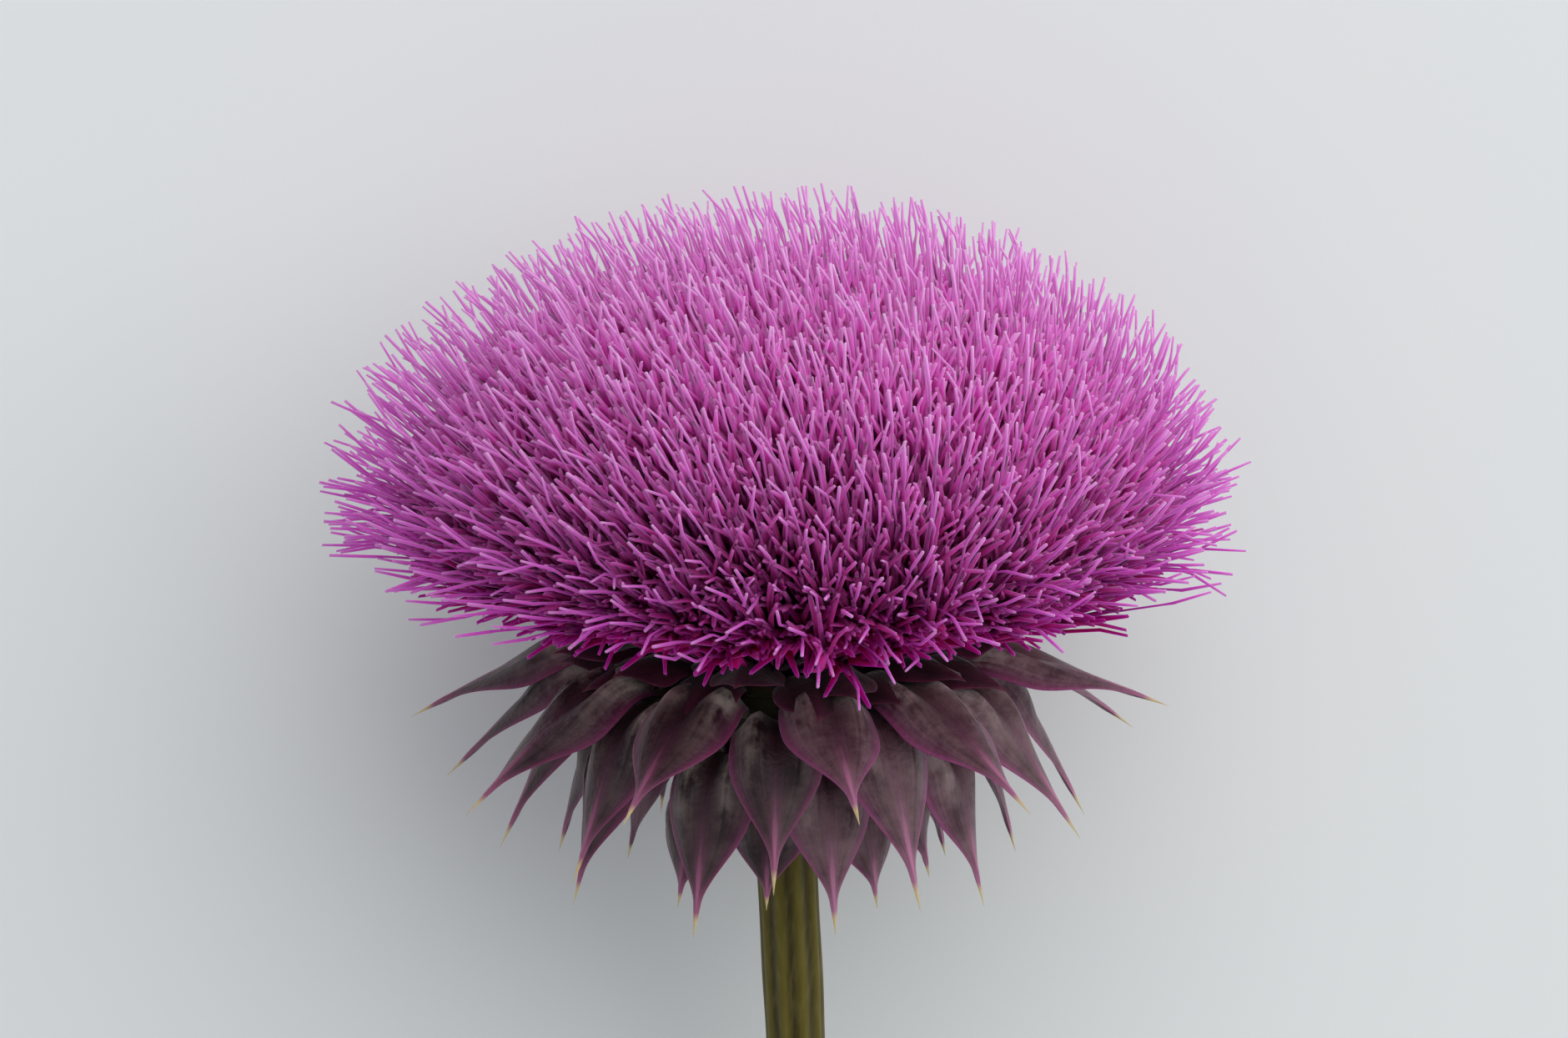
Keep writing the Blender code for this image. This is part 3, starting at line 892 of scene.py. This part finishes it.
@dataclass
class Involucre:
    """The cup and all the bracts that grow on it."""

    lie: Lie
    seed: int = 7
    free_roll: float = math.radians(6.0)        # the most that a free bract is turned
    # The bracts at these azimuths get the lighter, pinker skin as painted light on the lamp's
    # side.
    lit_side: tuple[float, float] = (4.0, 116.0)   # azimuths where the bracts are flushed
    pressed_thickness: float = 0.6
    pressed_swelling: float = 0.45
    pressed_wave: float = 0.3
    pressed_scatter: tuple[float, float, float] = (4.0, 5.0, 8.0)   # azimuth, lift and roll
    pressed_lengths: tuple[float, float] = (0.9, 1.1)
    cup_sides: int = 64
    cup_rings: int = 36
    cup_inset: float = 0.1                      # how far inside the CAD cup it stays
    cup_lobes: tuple[float, float] = (11.0, 0.012)   # how many low swellings, and how high

    def copy_blade(self, name: str, blank: bpy.types.Object, points: np.ndarray,
                   ) -> bpy.types.Object:
        """Copy the blank blade, with a mesh of its own, and lay the copy in its place.

        Args:
            name: The copy's name.
            blank: The flat blade.
            points: The copy's points, upright in millimetres.

        Returns:
            The copy.
        """
        piece = bpy.data.objects.new(name, blank.data.copy())
        piece.data.name = name
        bpy.context.scene.collection.objects.link(piece)
        write_points(piece, self.lie.lay(points))
        return piece

    def free_bracts(self) -> None:
        """Make the four free tiers, each bract in the place of its CAD node."""
        rng = random.Random(self.seed)
        skin = BractSkin().build()
        lit_side_skin = LIT_SIDE_SKIN.build()
        blade = Blade(sides=28, stations=40)
        blank = blade.build("blank_bract")
        flat = read_points(blank)
        for tier, shape in FREE_TIERS.items():
            for number, (degrees, stretch, lift) in enumerate(shape.bracts, start=1):
                roll = rng.uniform(-self.free_roll, self.free_roll)
                bract = Bract(shape, math.radians(degrees), shape.length * stretch,
                              math.radians(lift), roll)
                piece = self.copy_blade(f"{tier.value}_bract_{number:02d}", blank,
                                        bract.bend(blade, flat))
                node = f"bract_{tier.value}_{number:02d}"
                # Bracts on the lamp's side wear the lighter skin, as painted light.
                lit_side = self.lit_side[0] < degrees < self.lit_side[1]
                finish_piece(piece, lit_side_skin if lit_side else skin, (node,))
        bpy.data.objects.remove(blank)

    def pressed_bracts(self, name: str, tiers: tuple[BractTier, ...], blade: Blade,
                       skin: bpy.types.Material) -> None:
        """Make tiers of bracts that lie against the florets or the cup.

        Args:
            name: What the pieces are called, before their tier's and their own number.
            tiers: The tiers.
            blade: The blade that they are copied from.
            skin: Their finish.
        """
        rng = random.Random(self.seed + len(tiers))
        blank = blade.build("blank_" + name)
        flat = read_points(blank)
        aside, up, over = self.pressed_scatter
        for row, tier in enumerate(tiers, start=1):
            for number, (degrees, stretch, lift) in enumerate(tier.bracts, start=1):
                azimuth = math.radians(degrees + rng.uniform(-aside, aside))
                length = tier.length * stretch * rng.uniform(*self.pressed_lengths)
                lift += rng.uniform(-up, up)
                bract = Bract(tier, azimuth, length, math.radians(lift),
                              math.radians(rng.uniform(-over, over)),
                              thickness=self.pressed_thickness,
                              swelling=self.pressed_swelling, wave=self.pressed_wave)
                piece = self.copy_blade(f"{name}_{row}_{number:02d}", blank,
                                        bract.bend(blade, flat))
                finish_piece(piece, skin)
        bpy.data.objects.remove(blank)

    def cup(self) -> None:
        """Make the swollen cup, rounded between its levels and finely uneven."""
        shares = np.linspace(0.0, 1.0, len(self.lie.cup_radii))
        fine = np.linspace(1.0, 0.0, self.cup_rings)
        radii = np.interp(fine, shares, self.lie.cup_radii) - self.cup_inset
        levels = np.interp(fine, shares, self.lie.cup_levels)
        piece = extrude_rod("cup", [Ring(float(level), float(radius), float(radius))
                                    for radius, level in zip(radii, levels)], self.cup_sides)
        points = read_points(piece)
        azimuth = angle_round(points)
        share = (points[:, 2] - levels[0]) / (levels[-1] - levels[0])
        lobes, height = self.cup_lobes
        swell = 1.0 + height * np.sin(lobes * azimuth) * np.sin(math.pi * share)
        points[:, :2] *= swell[:, None]
        paint_map(piece, (azimuth / math.tau) % 1.0, share)
        write_points(piece, self.lie.lay(points))
        finish_piece(piece, CupFlesh().build(), ("involucre_cup",))

    def build(self) -> None:
        """Make the whole involucre."""
        self.cup()
        self.free_bracts()
        broad = Blade(sides=20, stations=24, widest=0.58, bluntness=0.55, spine_share=0.07)
        # The inner bracts' maroon is partly painted shade.
        self.pressed_bracts("inner_bract", INNER_TIERS, broad, MAROON_SHADED_SKIN.build())
        small = Blade(sides=14, stations=14, spine_share=0.10)
        self.pressed_bracts("base_scale", SCALE_TIERS, small, GREEN_SKIN.build())


# ---------------------------------------------------------------- stem
@dataclass
class Stem:
    """The ribbed stem, bowed a little, cut square where the flower was picked."""

    lie: Lie
    top: float = -23.2          # inside the cup, so that no gap shows
    radius_top: float = 2.75
    radius_end: float = 2.55
    bow: float = 1.3
    groove: float = 0.3
    rings: int = 80
    sides_a_rib: int = 8
    dents: float = 0.05         # unevenness that winds round the stem, and its two counts
    dent_counts: tuple[float, float] = (5.0, 23.0)
    knots: float = 0.04         # unevenness along it, and its count
    knot_count: float = 41.0
    sharp_angle: float = math.radians(50.0)

    def end(self) -> float:
        """Find the cut end's level, from where the CAD stem ends."""
        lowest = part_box("stem")[0][1] / MM - self.lie.origin()[1]
        return (lowest + self.radius_end * math.sin(self.lie.tilt)) / math.cos(self.lie.tilt)

    def build(self) -> None:
        """Extrude the stem up from its cut end, rib it, bow it and lay it down."""
        end = self.end()
        rings = []
        for ring in range(self.rings + 1):
            share = 1.0 - ring / self.rings
            radius = self.radius_top + (self.radius_end - self.radius_top) * share
            rings.append(Ring(self.top + (end - self.top) * share, radius, radius))
        piece = extrude_rod("cut_stem", rings, self.sides_a_rib * STEM_RIBS)
        points = read_points(piece)
        share = (points[:, 2] - self.top) / (end - self.top)
        azimuth = angle_round(points)
        turns, winds = self.dent_counts
        uneven = self.dents * np.sin(turns * azimuth + winds * share)
        uneven += self.knots * np.sin(self.knot_count * share)
        radius = np.hypot(points[:, 0], points[:, 1]) + uneven * np.sin(math.pi * share)
        radius -= self.groove * (0.5 + 0.5 * np.cos(STEM_RIBS * azimuth))
        bow = self.bow * np.sin(math.pi * share)
        shaped = np.stack(
            (radius * np.sin(azimuth) + bow, -radius * np.cos(azimuth), points[:, 2]), axis=1)
        paint_map(piece, (azimuth / math.tau) % 1.0, share)
        write_points(piece, self.lie.lay(shaped))
        bpy.ops.object.shade_smooth_by_angle(angle=self.sharp_angle)
        finish_piece(piece, StemSkin().build(), ("stem",))


# ---------------------------------------------------------------- florets
@dataclass(frozen=True)
class FloretMesh:
    """A floret's mesh as arrays: points, face sizes, corners and the corners' map places."""

    points: np.ndarray
    counts: np.ndarray
    corners: np.ndarray
    places: np.ndarray


@dataclass
class FloretModel:
    """One floret, modelled once: corolla tube, five strap lobes, anther tube and style.

    It stands on Z with the style's tip at level 0, in millimetres.  The tube's foot is far
    below; placing the floret draws it up to the disc.
    """

    spread: float             # how far the lobes open
    kink: float               # how far the style bends at its knee
    foot: float = -60.0
    neck: float = -16.8       # where the tube starts to widen
    throat: float = -12.8     # where the lobes part
    mouth: float = -12.4
    tube_radii: tuple[float, float, float] = (0.22, 0.30, 0.85)   # at the foot, neck and mouth
    lobes: int = 5
    lobe_tip: float = -7.2
    lobe_cap: float = 2.4     # length of the blunt tip
    lobe_wide: tuple[float, float, float] = (0.46, 0.34, 0.19)    # at its foot, cap and tip
    lobe_deep: tuple[float, float, float] = (0.22, 0.20, 0.16)
    lobe_out: tuple[float, float] = (0.42, 0.36)   # from the axis, at its foot and beyond
    lobe_bend: float = 0.40   # share of its reach that a lobe has where its cap starts
    anther_radii: tuple[float, float] = (0.32, 0.21)
    anther_top: float = -6.8
    style_levels: tuple[float, ...] = (-8.2, -3.6, -2.9, 0.0)     # its foot, its knee and tip
    style_wide: tuple[float, ...] = (0.10, 0.11, 0.15, 0.14)
    style_deep: tuple[float, ...] = (0.10, 0.11, 0.15, 0.11)
    style_bends: tuple[float, ...] = (0.0, 0.60, 0.64, -0.30)     # over the kink
    tube_half: float = 8.0    # below the throat: half way up the tube's band of the map
    seam: float = 0.31        # turns the map's fold off the rods' corners, in radians

    def rod(self, name: str, rings: list[Ring], sides: int, band: Band) -> bpy.types.Object:
        """Extrude a part and lay it on its band of the map, out and back round its section.

        Args:
            name: The part's name.
            rings: Its sections, from the lowest up.
            sides: Vertices round it.
            band: Its band of the map.

        Returns:
            The part.
        """
        rod = extrude_rod(name, rings, sides)
        points = read_points(rod)
        levels = [ring.level for ring in rings]
        shift = np.interp(points[:, 2], levels, [ring.shift for ring in rings])
        angle = np.arctan2(points[:, 1] - shift, points[:, 0]) + self.seam
        around = np.abs((angle + math.pi) % math.tau - math.pi) / math.pi
        knots, shares = [levels[0], levels[-1]], [0.0, 1.0]
        if band is Band.TUBE:
            knots, shares = [levels[0], self.throat - self.tube_half, levels[-1]], [0.0, 0.5, 1.0]
        low, high = band.value
        along = low + (high - low) * np.interp(points[:, 2], knots, shares)
        paint_map(rod, around, along, mirrored=True)
        return rod

    def lobe(self, number: int) -> bpy.types.Object:
        """Make one lobe with its blunt tip, turned about the floret's axis.

        Args:
            number: The lobe's number, from 0, which also varies its length and reach.

        Returns:
            The lobe.
        """
        reach = self.spread * (2.0 + 0.5 * math.sin(2.1 * number))
        tip = self.lobe_tip + 0.7 * math.sin(1.3 * number + 4.0 * self.kink)
        foot_out, out = self.lobe_out
        levels = (self.throat, tip - self.lobe_cap, tip)
        shifts = (foot_out, out + self.lobe_bend * reach, out + reach)
        lobe = self.rod("lobe", [Ring(*section) for section in zip(
            levels, self.lobe_wide, self.lobe_deep, shifts)], 3, Band.LOBE)
        bpy.ops.object.mode_set(mode="EDIT")
        bpy.ops.mesh.select_all(action="SELECT")
        bpy.ops.transform.rotate(value=math.tau * number / self.lobes, orient_axis="Z",
                                 center_override=(0.0, 0.0, 0.0))
        bpy.ops.object.mode_set(mode="OBJECT")
        return lobe

    def build(self) -> FloretMesh:
        """Model the floret and join its parts.

        Returns:
            The floret as arrays; its object is removed.
        """
        tube = [Ring(level, radius, radius) for level, radius in zip(
            (self.foot, self.neck, self.mouth), self.tube_radii)]
        anthers = [Ring(level, radius, radius) for level, radius in zip(
            (self.throat, self.anther_top), self.anther_radii)]
        style = [Ring(level, wide, deep, bend * self.kink) for level, wide, deep, bend in zip(
            self.style_levels, self.style_wide, self.style_deep, self.style_bends)]
        parts = [self.rod("tube", tube, 3, Band.TUBE),
                 self.rod("anthers", anthers, 3, Band.ANTHERS),
                 self.rod("style", style, 4, Band.STYLE)]
        parts += [self.lobe(number) for number in range(self.lobes)]
        bpy.ops.object.select_all(action="DESELECT")
        for part in parts:
            part.select_set(True)
        bpy.context.view_layer.objects.active = parts[0]
        bpy.ops.object.join()
        mesh = parts[0].data
        made = FloretMesh(
            read_points(parts[0]),
            np.array([face.loop_total for face in mesh.polygons]),
            np.array([loop.vertex_index for loop in mesh.loops]),
            np.array([corner.uv[:] for corner in mesh.uv_layers[PATTERN_MAP].data]))
        bpy.data.objects.remove(parts[0])
        return made


# The florets that all others are copied from, which differ in their lobes and their styles.
FLORET_MODELS = (FloretModel(0.55, 0.3), FloretModel(0.85, -0.5), FloretModel(1.05, 0.7),
                 FloretModel(1.25, -0.2), FloretModel(0.70, 0.9))


@dataclass(frozen=True)
class Floret:
    """One floret in its place: its points, the mesh it is copied from and its map places."""

    points: np.ndarray
    mesh: FloretMesh
    places: np.ndarray


@dataclass
class FloretHead:
    """The domed mass of florets, in the CAD model's fourteen clusters.

    Angles are counted from the dome's top.  A floret's share is its place on the disc, 0 at
    the centre and 1 at the edge.
    """

    lie: Lie
    florets: int = 1950
    seed: int = 11
    golden: float = math.radians(137.50776)

    # The disc that they stand on, and the dome that their tips reach.
    disc_radius: float = 10.4
    disc_level: float = -8.3
    disc_rise: float = 2.5
    dome_radius: float = 38.2
    dome_height: float = 24.7
    dome_centre: float = 6.1
    last_angle: float = math.radians(107.0)   # how far the tips reach round under the rim
    azimuth_scatter: float = 0.012
    angle_scatter: float = 0.018
    size_scatter: tuple[float, float] = (-0.030, 0.028)   # over the dome's size

    # The uneven tufts in which the florets of the fringe hang.
    fringe: float = 0.88                      # the share from which they do
    tufts: tuple[tuple[float, float], ...] = ((6.0, 0.37), (11.0, -0.64), (15.0, 4.97))
    tuft_angle: float = math.radians(3.0)
    side_lift: float = 1.1                    # how much less they hang at the sides

    # Where the florets point.
    rise_angles: tuple[float, ...] = (0.0, 30.0, 58.0, 82.0, 92.0, 106.0, 116.0)
    rises: tuple[float, ...] = (90.0, 81.0, 62.0, 36.0, 22.0, -4.0, -26.0)
    rise_scatter: float = math.radians(6.0)
    fringe_droop: float = math.radians(10.0)
    turn_scatter: float = math.radians(5.0)
    lean: tuple[float, float, float] = (-0.46, 0.0, 0.10)   # which way all florets lean
    lean_edge: float = 1.35                   # the share at which the lean would end
    lean_fade: float = 0.6                    # how much less they lean at the right
    knee: float = 0.55                        # how far back from its tip a floret bends

    # Styles, and the florets in front that are only just opening.
    free_style: float = -6.6                  # level from which a style's length varies
    style_reach: tuple[float, float] = (0.78, 1.30)   # how long a style is over the model's
    crown_shortness: float = 0.32             # how much shorter styles stand on the crown
    sway: float = 0.38                        # how far a style's tip bends aside
    sway_curve: float = 1.5                   # the higher, the nearer to its tip it bends
    young_angle: float = math.radians(78.0)
    young_side: float = math.radians(55.0)
    young_share: float = 0.32
    young_style: float = 0.45

    # How the foot of a tube is squeezed between its neighbours, and eases by the millimetre.
    foot_squeeze: float = 0.55
    foot_ease: float = 0.06

    # How far points stay over the surface, and how softly they are pressed up from it.
    line_clear: tuple[float, float] = (0.45, 0.5)
    skin_clear: tuple[float, float] = (0.05, 0.12)

    # The CAD model's clusters.
    core_radius: float = 14.3
    inner_radius: float = 27.3
    inner_clusters: int = 5
    outer_clusters: int = 8

    # Tints, side by side on the pattern map from the deepest to the palest.  The deep rim is
    # partly the older florets' own colour and partly painted shade under the fringe.
    columns: int = 16
    column_fill: float = 0.8
    deep_angle: float = math.radians(106.0)   # from here round to the rim all are deep
    tint_angle: float = math.radians(76.0)    # over how much they pale towards the crown
    crown_tint: float = 0.85
    tint_scatter: tuple[float, float] = (0.04, 0.11)   # at the rim, and what the crown adds

    def tip_angles(self, steps: int = 600) -> np.ndarray:
        """Spread the tips evenly over the dome's area.

        Args:
            steps: How finely the area is added up.

        Returns:
            Their angles, from the dome's top to the fringe.
        """
        angles = np.linspace(0.0, self.last_angle, steps)
        radius = self.dome_radius * np.sin(angles)
        slant = np.hypot(self.dome_radius * np.cos(angles), self.dome_height * np.sin(angles))
        area = np.concatenate(((0.0,), np.cumsum((radius * slant)[:-1])))
        ranks = (np.arange(self.florets) + 0.5) / self.florets
        return np.interp(ranks * area[-1], area, angles)

    def hang(self, share: float, azimuth: float) -> float:
        """Work out how much further round a fringe floret's tip hangs.

        Args:
            share: The floret's share.
            azimuth: Its azimuth.

        Returns:
            The angle to add, alike for neighbours, so that they hang in tufts.
        """
        wave = sum(math.sin(count * azimuth + phase) for count, phase in self.tufts)
        wave -= self.side_lift * (1.0 - math.cos(2.0 * azimuth))
        edge = float(smooth_step((share - self.fringe) / (1.0 - self.fringe)))
        return self.tuft_angle * wave * edge

    def aim(self, share: float, azimuth: float, angle: float, rng: random.Random) -> np.ndarray:
        """Work out where a floret points.

        Args:
            share: The floret's share.
            azimuth: Its azimuth.
            angle: Its angle.
            rng: The source of chance.

        Returns:
            The direction at its tip.
        """
        steps, rises = np.radians(self.rise_angles), np.radians(self.rises)
        rise = float(np.interp(angle, steps, rises)) + rng.gauss(0.0, self.rise_scatter)
        if share > self.fringe:
            rise -= abs(rng.gauss(0.0, self.fringe_droop))
        turned = azimuth + rng.gauss(0.0, self.turn_scatter)
        right = float(smooth_step(0.5 + 0.5 * share * math.sin(azimuth)))
        bias = float(smooth_step(self.lean_edge - share)) * (1.0 - self.lean_fade * right)
        straight = polar(math.cos(rise), turned, math.sin(rise))
        return unit(straight + np.array(self.lean) * bias)

    def cluster_of(self, tip: np.ndarray) -> str:
        """Find the CAD cluster that a tip belongs to.

        Args:
            tip: The tip's place.

        Returns:
            The cluster's node.
        """
        radius = math.hypot(tip[0], tip[1])
        if radius < self.core_radius:
            return "florets_core"
        azimuth = math.atan2(tip[0], -tip[1]) % math.tau
        ring, count = ("inner", self.inner_clusters)
        if radius > self.inner_radius:
            ring, count = ("outer", self.outer_clusters)
        return f"florets_{ring}_{round(azimuth / math.tau * count) % count + 1}"

    def centre_line(self, foot: np.ndarray, tip: np.ndarray, aim: np.ndarray,
                    steps: int = 24) -> np.ndarray:
        """Curve from the disc to the tip, clear of the surface.

        Args:
            foot: Where the line starts, on the disc.
            tip: Where it ends.
            aim: The direction in which it arrives.
            steps: How many points to give.

        Returns:
            The line's points.
        """
        knee = tip - aim * self.knee * np.linalg.norm(tip - foot)
        share = np.linspace(0.0, 1.0, steps)[:, None]
        line = (1 - share) ** 2 * foot + 2 * share * (1 - share) * knee + share ** 2 * tip
        return self.lie.keep_above(line, *self.line_clear)

    def place(self, points: np.ndarray, line: np.ndarray, roll: float, stretch: float,
              sway: tuple[float, float]) -> np.ndarray:
        """Bend a floret model along its line.

        Args:
            points: The model's vertices.
            line: The centre line, from the foot to the tip.
            roll: Turn about the line.
            stretch: The style's free length over the model's.
            sway: How far the style's tip is bent aside, both ways.

        Returns:
            The vertices in the flower's axes.
        """
        level = points[:, 2].copy()
        free = level > self.free_style
        out = np.clip(1.0 - level / self.free_style, 0.0, 1.0) ** self.sway_curve
        level[free] *= stretch
        level[~free] += self.free_style * (stretch - 1.0)
        strides = np.linalg.norm(np.diff(line, axis=0), axis=1)
        walked = np.concatenate(((0.0,), np.cumsum(strides)))
        at = np.clip(walked[-1] + level, 0.0, None)
        slopes = np.gradient(line, axis=0)
        middle, along = (np.stack([np.interp(at, walked, rows[:, i]) for i in range(3)], axis=1)
                         for rows in (line, slopes))
        along /= np.linalg.norm(along, axis=1)[:, None]
        # Any direction will do for the first side, so long as no line runs in it.
        across = np.cross(along, unit(np.cross(line[-1] - line[0], (0.31, 0.17, 0.05))))
        across /= np.linalg.norm(across, axis=1)[:, None]
        beside = np.cross(across, along)
        east = points[:, 0] * math.cos(roll) - points[:, 1] * math.sin(roll)
        north = points[:, 0] * math.sin(roll) + points[:, 1] * math.cos(roll)
        squeeze = np.clip(self.foot_squeeze + self.foot_ease * at, self.foot_squeeze, 1.0)
        placed = (middle + beside * (east * squeeze + sway[0] * out)[:, None]
                  + across * (north * squeeze + sway[1] * out)[:, None])
        return self.lie.keep_above(placed, *self.skin_clear)

    def grow(self, number: int, angle: float, models: list[FloretMesh],
             rng: random.Random) -> tuple[str, Floret]:
        """Grow one floret, from its foot on the disc to its style's tip.

        Args:
            number: Its number, counted from the centre of the disc.
            angle: The angle of its tip before chance moves it.
            models: The florets that it may be copied from.
            rng: The source of chance.

        Returns:
            The node of its cluster, and the floret.
        """
        share = math.sqrt((number + 0.5) / self.florets)
        azimuth = number * self.golden + rng.gauss(0.0, self.azimuth_scatter)
        foot = polar(self.disc_radius * share, azimuth,
                     self.disc_level + self.disc_rise * (1 - share ** 2))
        angle += rng.gauss(0.0, self.angle_scatter) + self.hang(share, azimuth)
        size = 1.0 + rng.uniform(*self.size_scatter)
        tip = polar(self.dome_radius * size * math.sin(angle), azimuth,
                    self.dome_centre + self.dome_height * size * math.cos(angle))
        aim = self.aim(share, azimuth, angle, rng)

        crown = float(smooth_step((self.deep_angle - angle) / self.tint_angle))
        usual = 1.0 - self.crown_shortness * crown
        stretch = usual * rng.uniform(*self.style_reach)
        side = abs((azimuth + math.pi) % math.tau - math.pi)
        if angle > self.young_angle and side < self.young_side:
            stretch *= self.young_style if rng.random() < self.young_share else 1.0
        tip = tip - aim * self.free_style * (stretch - usual)
        line = self.centre_line(foot, tip, aim)
        model = models[rng.randrange(len(models))]
        sway = (rng.gauss(0.0, self.sway), rng.gauss(0.0, self.sway))
        placed = self.place(model.points, line, rng.uniform(0.0, math.tau), stretch, sway)

        # Deeper towards the rim: partly the florets' age, partly painted shade under the fringe.
        rim_scatter, crown_scatter = self.tint_scatter
        tint = self.crown_tint * crown + (rim_scatter + crown_scatter * crown) * rng.random()
        column = min(self.columns - 1, int(tint * self.columns))
        places = model.places.copy()
        margin = 0.5 * (1.0 - self.column_fill)
        places[:, 0] = (column + margin + self.column_fill * places[:, 0]) / self.columns
        return self.cluster_of(tip), Floret(placed, model, places)

    def join(self, node: str, members: list[Floret], material: bpy.types.Material) -> None:
        """Join a cluster's florets into one mesh in the place of its CAD node.

        Args:
            node: The cluster's CAD node.
            members: Its florets.
            material: Their finish.
        """
        points = self.lie.lay(np.concatenate([floret.points for floret in members]))
        counts = np.concatenate([floret.mesh.counts for floret in members])
        places = np.concatenate([floret.places for floret in members])
        starts = np.cumsum([0] + [len(floret.points) for floret in members])
        corners = np.concatenate(
            [floret.mesh.corners + start for floret, start in zip(members, starts)])
        mesh = bpy.data.meshes.new(node.replace("florets", "floret_cluster"))
        mesh.vertices.add(len(points))
        mesh.vertices.foreach_set("co", points.ravel())
        mesh.loops.add(len(corners))
        mesh.loops.foreach_set("vertex_index", corners)
        mesh.polygons.add(len(counts))
        mesh.polygons.foreach_set("loop_start", np.concatenate(((0,), np.cumsum(counts)[:-1])))
        mesh.update(calc_edges=True)
        mesh.uv_layers.new(name=PATTERN_MAP).data.foreach_set("uv", places.ravel())
        mesh.shade_smooth()
        piece = bpy.data.objects.new(mesh.name, mesh)
        bpy.context.scene.collection.objects.link(piece)
        finish_piece(piece, material, (node,))

    def build(self) -> None:
        """Grow every floret and join each cluster's florets into one piece."""
        rng = random.Random(self.seed)
        models = [model.build() for model in FLORET_MODELS]
        clusters: dict[str, list[Floret]] = {}
        for number, angle in enumerate(self.tip_angles()):
            node, floret = self.grow(number, angle, models, rng)
            clusters.setdefault(node, []).append(floret)
        material = PetalTissue().build()
        for node, members in sorted(clusters.items()):
            self.join(node, members, material)


# ---------------------------------------------------------------- studio
@dataclass
class Studio:
    """A pale floor, one wide soft lamp beyond the head and to its right, and the camera."""

    lie: Lie
    floor_colour: str = "#F0F4F5"
    floor_size: float = 6.0
    wall_colour: str = "#DCE0E4"
    room_colour: str = "#F0F3F7"
    room_light: float = 0.50                 # what the room alone gives a white surface
    key_colour: str = "#FFFDF9"
    key_light: float = 1.26                  # what the lamp gives a surface that faces it
    key_place: tuple[float, float, float] = (0.70, 0.78, 0.84)
    key_target: tuple[float, float, float] = (0.0, 0.03, 0.03)
    key_size: float = 2.4
    elevation: float = math.radians(13.0)    # of the camera above the flower's widest level
    distance: float = 400.0                  # of the camera from the flower's middle
    view_width: float = 136.1                # what the camera sees there from side to side
    centre_above_origin: float = 3.5
    sensor_width: float = 36.0

    def floor(self) -> None:
        """Lay the floor, a wide pale sheet."""
        bpy.ops.object.select_all(action="DESELECT")
        bpy.ops.mesh.primitive_plane_add(size=self.floor_size)
        floor = bpy.context.active_object
        floor.name = floor.data.name = "floor"
        material, shader = new_material("matt_paper_floor", Roughness=0.95,
                                        Specular_IOR_Level=0.1)
        feed(shader, "Base Color", self.floor_colour)
        floor.data.materials.append(material)

    def world(self) -> None:
        """Fill the room with plain light, and show the camera a pale wall beyond the floor."""
        world = bpy.data.worlds.new("studio")
        bpy.context.scene.world = world
        world.use_nodes = True
        tree = world.node_tree
        tree.nodes.clear()
        seen = add_node(tree, "LightPath")
        fill = add_node(tree, "Background",
                        inputs={"Color": self.room_colour, "Strength": self.room_light})
        wall = add_node(tree, "Background",
                        inputs={"Color": self.wall_colour, "Strength": 1.0})
        mixed = add_node(tree, "MixShader",
                         inputs={0: seen.outputs["Is Camera Ray"], 1: fill, 2: wall})
        add_node(tree, "OutputWorld", inputs={0: mixed})

    def key(self) -> None:
        """Hang the lamp.  A lamp of P watts at D metres gives a white surface P / (pi D)^2."""
        light = bpy.data.lights.new("key", "AREA")
        light.shape = "SQUARE"
        light.size = self.key_size
        light.color = linear(self.key_colour)[:3]
        towards = Vector(self.key_place) - Vector(self.key_target)
        light.energy = self.key_light * (math.pi * towards.length) ** 2
        lamp = bpy.data.objects.new("key", light)
        bpy.context.scene.collection.objects.link(lamp)
        lamp.location = self.key_place
        lamp.rotation_euler = towards.to_track_quat("Z", "Y").to_euler()

    def camera(self) -> None:
        """Set the camera over the flower, looking a little down on the dome's front."""
        turn = self.lie.turn()
        towards = turn @ np.array((0.0, -math.cos(self.elevation), math.sin(self.elevation)))
        above = turn @ np.array((0.0, math.sin(self.elevation), math.cos(self.elevation)))
        centre = self.lie.origin() + above * self.centre_above_origin
        data = bpy.data.cameras.new("camera")
        data.sensor_width = self.sensor_width
        data.lens = self.sensor_width * self.distance / self.view_width
        data.clip_start = 0.01
        camera = bpy.data.objects.new("camera", data)
        bpy.context.scene.collection.objects.link(camera)
        camera.location = (centre + towards * self.distance) * MM
        camera.rotation_euler = Vector(-towards).to_track_quat("-Z", "Y").to_euler()
        bpy.context.scene.camera = camera

    def build(self) -> None:
        """Set up the whole studio."""
        self.floor()
        self.world()
        self.key()
        self.camera()
        bpy.context.scene.view_settings.view_transform = "Standard"


def main() -> None:
    """Build the flower and its studio in order."""
    logging.basicConfig(level=logging.INFO, format="%(relativeCreated)d %(name)s: %(message)s")
    lie = Lie()
    Studio(lie).build()
    Stem(lie).build()
    Involucre(lie).build()
    FloretHead(lie).build()


if __name__ == "__main__":
    main()
